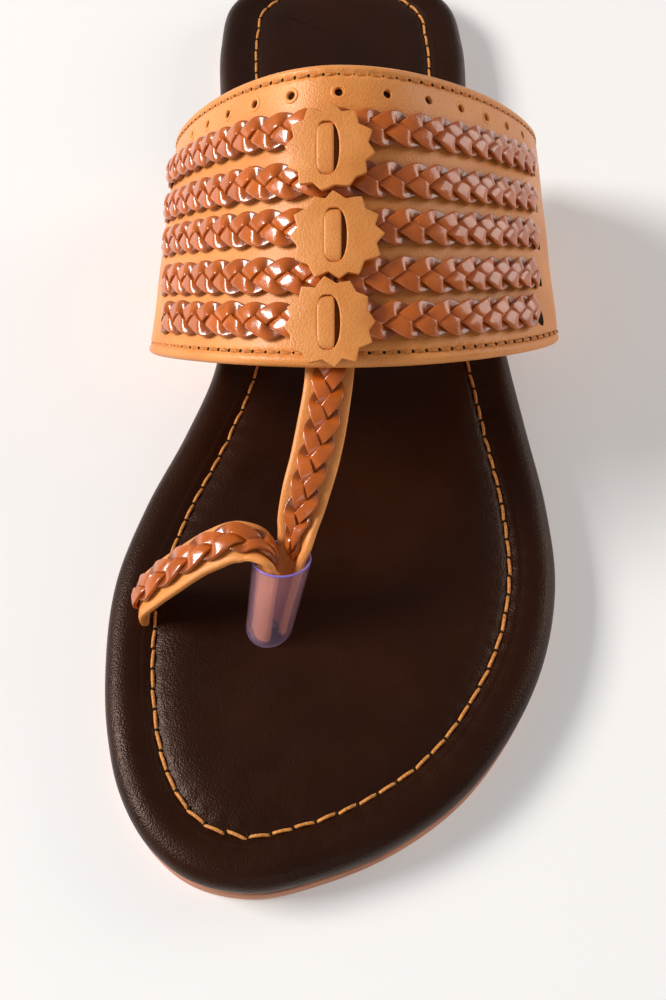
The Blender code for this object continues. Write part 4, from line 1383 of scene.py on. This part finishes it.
class Strap:
    """A ribbon along a centre line: it faces one way and curls across its width."""

    def __init__(self, table, seat, count=400):
        rows = strap_rows(table, seat, count)
        self.centre = rows[:, :3]
        self.run = run_of(self.centre)
        tangent = unit(np.gradient(self.centre, axis=0))
        facing = np.radians(eased(rows[:, 3], 16))
        across = np.stack([np.cos(facing), np.sin(facing), np.zeros(count)], axis=1)
        across = unit(across - tangent * (across * tangent).sum(axis=1)[:, None])
        self.across = unit(eased_rows(across, 18))
        self.normal = unit(np.cross(tangent, self.across))
        self.curl = eased(rows[:, 4], 16)
        self.length = float(self.run[-1])
        mouth = self.length - SLEEVE_LENGTH - STRAP_SUNK
        taper = np.clip((self.run - mouth) / STRAP_TAPER + 1, 0, 1)
        narrow = 1 - (1 - STRAP_NECK[1]) * taper**1.5
        self.width = np.minimum(eased(rows[:, 5], 12), narrow) * STRAP_WIDTH

    def at(self, run, side, height):
        run, side, height = np.broadcast_arrays(run, side, height)
        centre, across, normal = (
            sampled(rows, self.run, run) for rows in (self.centre, self.across, self.normal)
        )
        curl = np.maximum(np.interp(run, self.run, self.curl), 1.0)
        radius = 1 / curl
        turn = side * curl
        out = radius - (radius - height) * np.cos(turn)
        sideways = (radius - height) * np.sin(turn)
        return centre + normal * out[..., None] + across * sideways[..., None]

    def backing(self, name):
        """The tan backing: a flat strip with plump rounded edges."""
        run = np.linspace(0, self.length, 190)
        turns = round_turns(40) + math.pi / 40
        side, up = squared(np.cos(turns), 0.55), squared(np.sin(turns), 0.45)
        half = np.interp(run, self.run, self.width)[:, None] / 2
        plump = 1.0 + 0.14 * bell(np.abs(side), 0.84, 0.13)
        height = STRAP_THICKNESS / 2 * up * plump
        wave = 0.00005 * np.sin(run / 0.0047) + 0.00003 * np.sin(run / 0.0021 + 1.0)
        grid = self.at(run[:, None], half * side + wave[:, None] * side, height)
        return closed_mesh(name, grid, caps=(True, True))


def build_toe_straps():
    tan = tan_leather_material("strap_leather", 0.8, 1.03, 0.46)
    glossy = braid_leather_material()
    hidden = SLEEVE_LENGTH + STRAP_SUNK
    for name, table, seat, start, seed, scale in (
        ("toe_strap", TOE_STRAP_PATH, TOE_STRAP_SEAT, STRAP_SUNK, 61, 0.98),
        ("toe_loop", TOE_LOOP_PATH, TOE_LOOP_SEAT, STRAP_SUNK + SEAT_GAP, 62, 1.10),
    ):
        strap = Strap(table, seat)
        backing = f"{name}_backing"
        new_piece(backing, strap.backing(backing), tan, (name,), 60)

        def on_strap(run, side, height, strap=strap):
            return strap.at(run, side, height + STRAP_THICKNESS / 2 - STRAP_BED)

        end = strap.length - hidden + 0.001
        width = STRAP_PLAIT_WIDTH * STRAP_SLACK
        braid = f"{name}_braid"
        mesh = plait_mesh(braid, on_strap, width, start, end, -1, scale, STRAP_DIVE, seed, STRAP_PINCH)
        new_piece(braid, mesh, glossy, (f"{name}_plait",), 60)


# Sleeve

def sleeve_ring(height, radius, count, level=0.0, rise=0.0):
    axis = unit(sleeve_axis(1.0) - sleeve_axis(0.0))
    side = unit(np.cross((0.0, 1.0, 0.0), axis))
    square = np.cross(axis, side)
    turns = round_turns(count)
    spread = (np.cos(turns)[:, None] * side + np.sin(turns)[:, None] * square) * radius
    spread = spread - level * axis * (spread[:, 2] / axis[2])[:, None]
    spread = spread + rise * axis * (spread[:, 0] / radius)[:, None]
    return sleeve_axis(height) + spread


MOUTH_RISE = 0.0009
LIP_SHARE = 0.45
LEVEL_SHARE = 0.30


def build_sleeve():
    count = 96
    heights = np.linspace(0, 1, 19) * SLEEVE_HEIGHT
    outer, inner = [], []
    for height in heights:
        level = max(0.0, 1 - height / (SLEEVE_HEIGHT * LEVEL_SHARE)) ** 1.5
        rise = MOUTH_RISE * (height / SLEEVE_HEIGHT) ** 4
        outer.append(sleeve_ring(height, sleeve_radius(height), count, level, rise))
        inner.append(sleeve_ring(height, sleeve_radius(height) - SLEEVE_WALL, count, level, rise))
    grid = np.array(outer + inner[::-1])
    mesh = closed_mesh("toe_post_sleeve", grid, closed_run=True)
    new_piece("toe_post_sleeve", mesh, sleeve_material(), ("toe_sleeve",), 60)
    radius = sleeve_radius(SLEEVE_HEIGHT) - SLEEVE_WALL / 2
    lip = []
    for turn in round_turns(10):
        up = math.sin(turn) * SLEEVE_WALL * LIP_SHARE
        out = math.cos(turn) * SLEEVE_WALL * LIP_SHARE
        lip.append(sleeve_ring(SLEEVE_HEIGHT + up, radius + out, count, 0.0, MOUTH_RISE))
    mesh = closed_mesh("sleeve_lip", np.array(lip), closed_run=True)
    new_piece("sleeve_lip", mesh, rim_material())


# Stage

def area_light(name, place, target, size, power, tint=(1.0, 1.0, 1.0)):
    light = bpy.data.lights.new(name, "AREA")
    light.shape = "RECTANGLE"
    light.size, light.size_y = size
    light.energy = power
    light.color = tint
    lamp = in_scene(name, light)
    lamp.location = place
    lamp.rotation_euler = (Vector(target) - Vector(place)).to_track_quat("-Z", "Y").to_euler()


def build_floor():
    half = 3.0
    corners = [(-half, -half, 0), (half, -half, 0), (half, half, 0), (-half, half, 0)]
    mesh = bpy.data.meshes.new("studio_floor")
    mesh.from_pydata(corners, [], [(0, 1, 2, 3)])
    mesh.materials.append(floor_material())
    floor = in_scene("studio_floor", mesh)


def build_lights():
    area_light("window_key", (-1.62, 0.08, 1.22), (0, 0, 0.02), (0.90, 0.56), 47.0, (1.0, 0.975, 0.95))
    area_light("window_right", (0.93, 0.33, 0.37), (0.04, 0, 0.05), (0.64, 0.60), 3.8, (1.0, 0.93, 0.87))
    area_light("front_fill", (0.10, -1.10, 0.70), (0, 0, 0.02), (0.9, 0.4), 1.4)
    world = bpy.data.worlds.get("studio_world") or bpy.data.worlds.new("studio_world")
    bpy.context.scene.world = world
    world.use_nodes = True
    back = world.node_tree.nodes["Background"]
    back.inputs["Color"].default_value = (1.0, 0.985, 0.975, 1.0)
    back.inputs["Strength"].default_value = 0.22


def build_camera():
    data = bpy.data.cameras.new("photo_camera")
    data.sensor_fit = "VERTICAL"
    data.sensor_height = CAMERA_FILM
    data.sensor_width = CAMERA_FILM * PHOTO_ASPECT
    data.lens = CAMERA_LENS
    camera = in_scene("photo_camera", data)
    camera.location = CAMERA_PLACE
    camera.rotation_euler = Euler((math.radians(CAMERA_PITCH), 0, 0))
    bpy.context.scene.camera = camera


# Operators

class SANDAL_OT_sole(bpy.types.Operator):
    """Make the outsole sheet, the padded footbed and its seam"""

    bl_idname = "sandal.sole"
    bl_label = "Sole and footbed"

    def execute(self, context):
        build_outsole()
        build_footbed()
        build_footbed_stitches()
        return {"FINISHED"}


class SANDAL_OT_band(bpy.types.Operator):
    """Make the instep band, its seams and its punched holes"""

    bl_idname = "sandal.band"
    bl_label = "Instep band"

    def execute(self, context):
        build_band()
        build_band_stitches()
        build_hole_rims()
        return {"FINISHED"}


class SANDAL_OT_plaits(bpy.types.Operator):
    """Make the plaits across the band"""

    bl_idname = "sandal.plaits"
    bl_label = "Band plaits"

    def execute(self, context):
        build_band_plaits()
        return {"FINISHED"}


class SANDAL_OT_stars(bpy.types.Operator):
    """Make the stars and the keepers in their slots"""

    bl_idname = "sandal.stars"
    bl_label = "Stars"

    def execute(self, context):
        leather = tan_leather_material("star_leather", 0.90, 0.94, 0.46)
        for number in range(len(STAR_MARGINS)):
            seat = build_star(number, leather)
            build_keeper(number, seat, leather)
            build_slot_floor(number, seat)
        return {"FINISHED"}


class SANDAL_OT_toe_straps(bpy.types.Operator):
    """Make the toe strap, the toe loop and their plaits"""

    bl_idname = "sandal.toe_straps"
    bl_label = "Toe straps"

    def execute(self, context):
        build_toe_straps()
        return {"FINISHED"}


class SANDAL_OT_sleeve(bpy.types.Operator):
    """Make the clear sleeve at the toe post"""

    bl_idname = "sandal.sleeve"
    bl_label = "Toe post sleeve"

    def execute(self, context):
        build_sleeve()
        return {"FINISHED"}


class SANDAL_OT_stage(bpy.types.Operator):
    """Set the floor, the lights and the camera"""

    bl_idname = "sandal.stage"
    bl_label = "Studio"

    def execute(self, context):
        build_floor()
        build_lights()
        build_camera()
        context.scene.view_settings.view_transform = "Standard"
        context.scene.view_settings.look = "None"
        return {"FINISHED"}


OPERATORS = (
    SANDAL_OT_sole,
    SANDAL_OT_band,
    SANDAL_OT_plaits,
    SANDAL_OT_stars,
    SANDAL_OT_toe_straps,
    SANDAL_OT_sleeve,
    SANDAL_OT_stage,
)


class SANDAL_PT_sidebar(bpy.types.Panel):
    """Lists the sandal's pieces, sizes and colours"""

    bl_idname = "SANDAL_PT_sidebar"
    bl_label = "Kolhapuri Sandal"
    bl_space_type = "VIEW_3D"
    bl_region_type = "UI"
    bl_category = "Sandal"

    def draw(self, context):
        for operator in OPERATORS:
            self.layout.operator(operator.bl_idname)
        for group in (context.scene.sandal_sizes, context.scene.sandal_colours):
            box = self.layout.box()
            for name in group.__annotations__:
                box.prop(group, name)


CLASSES = (SandalSizes, SandalColours, *OPERATORS, SANDAL_PT_sidebar)


def register():
    for kind in CLASSES:
        bpy.utils.register_class(kind)
    bpy.types.Scene.sandal_sizes = PointerProperty(type=SandalSizes)
    bpy.types.Scene.sandal_colours = PointerProperty(type=SandalColours)


def unregister():
    del bpy.types.Scene.sandal_colours
    del bpy.types.Scene.sandal_sizes
    for kind in reversed(CLASSES):
        bpy.utils.unregister_class(kind)


def main():
    register()
    bpy.ops.sandal.sole()
    bpy.ops.sandal.band()
    bpy.ops.sandal.plaits()
    bpy.ops.sandal.stars()
    bpy.ops.sandal.toe_straps()
    bpy.ops.sandal.sleeve()
    bpy.ops.sandal.stage()


if __name__ == "__main__":
    main()
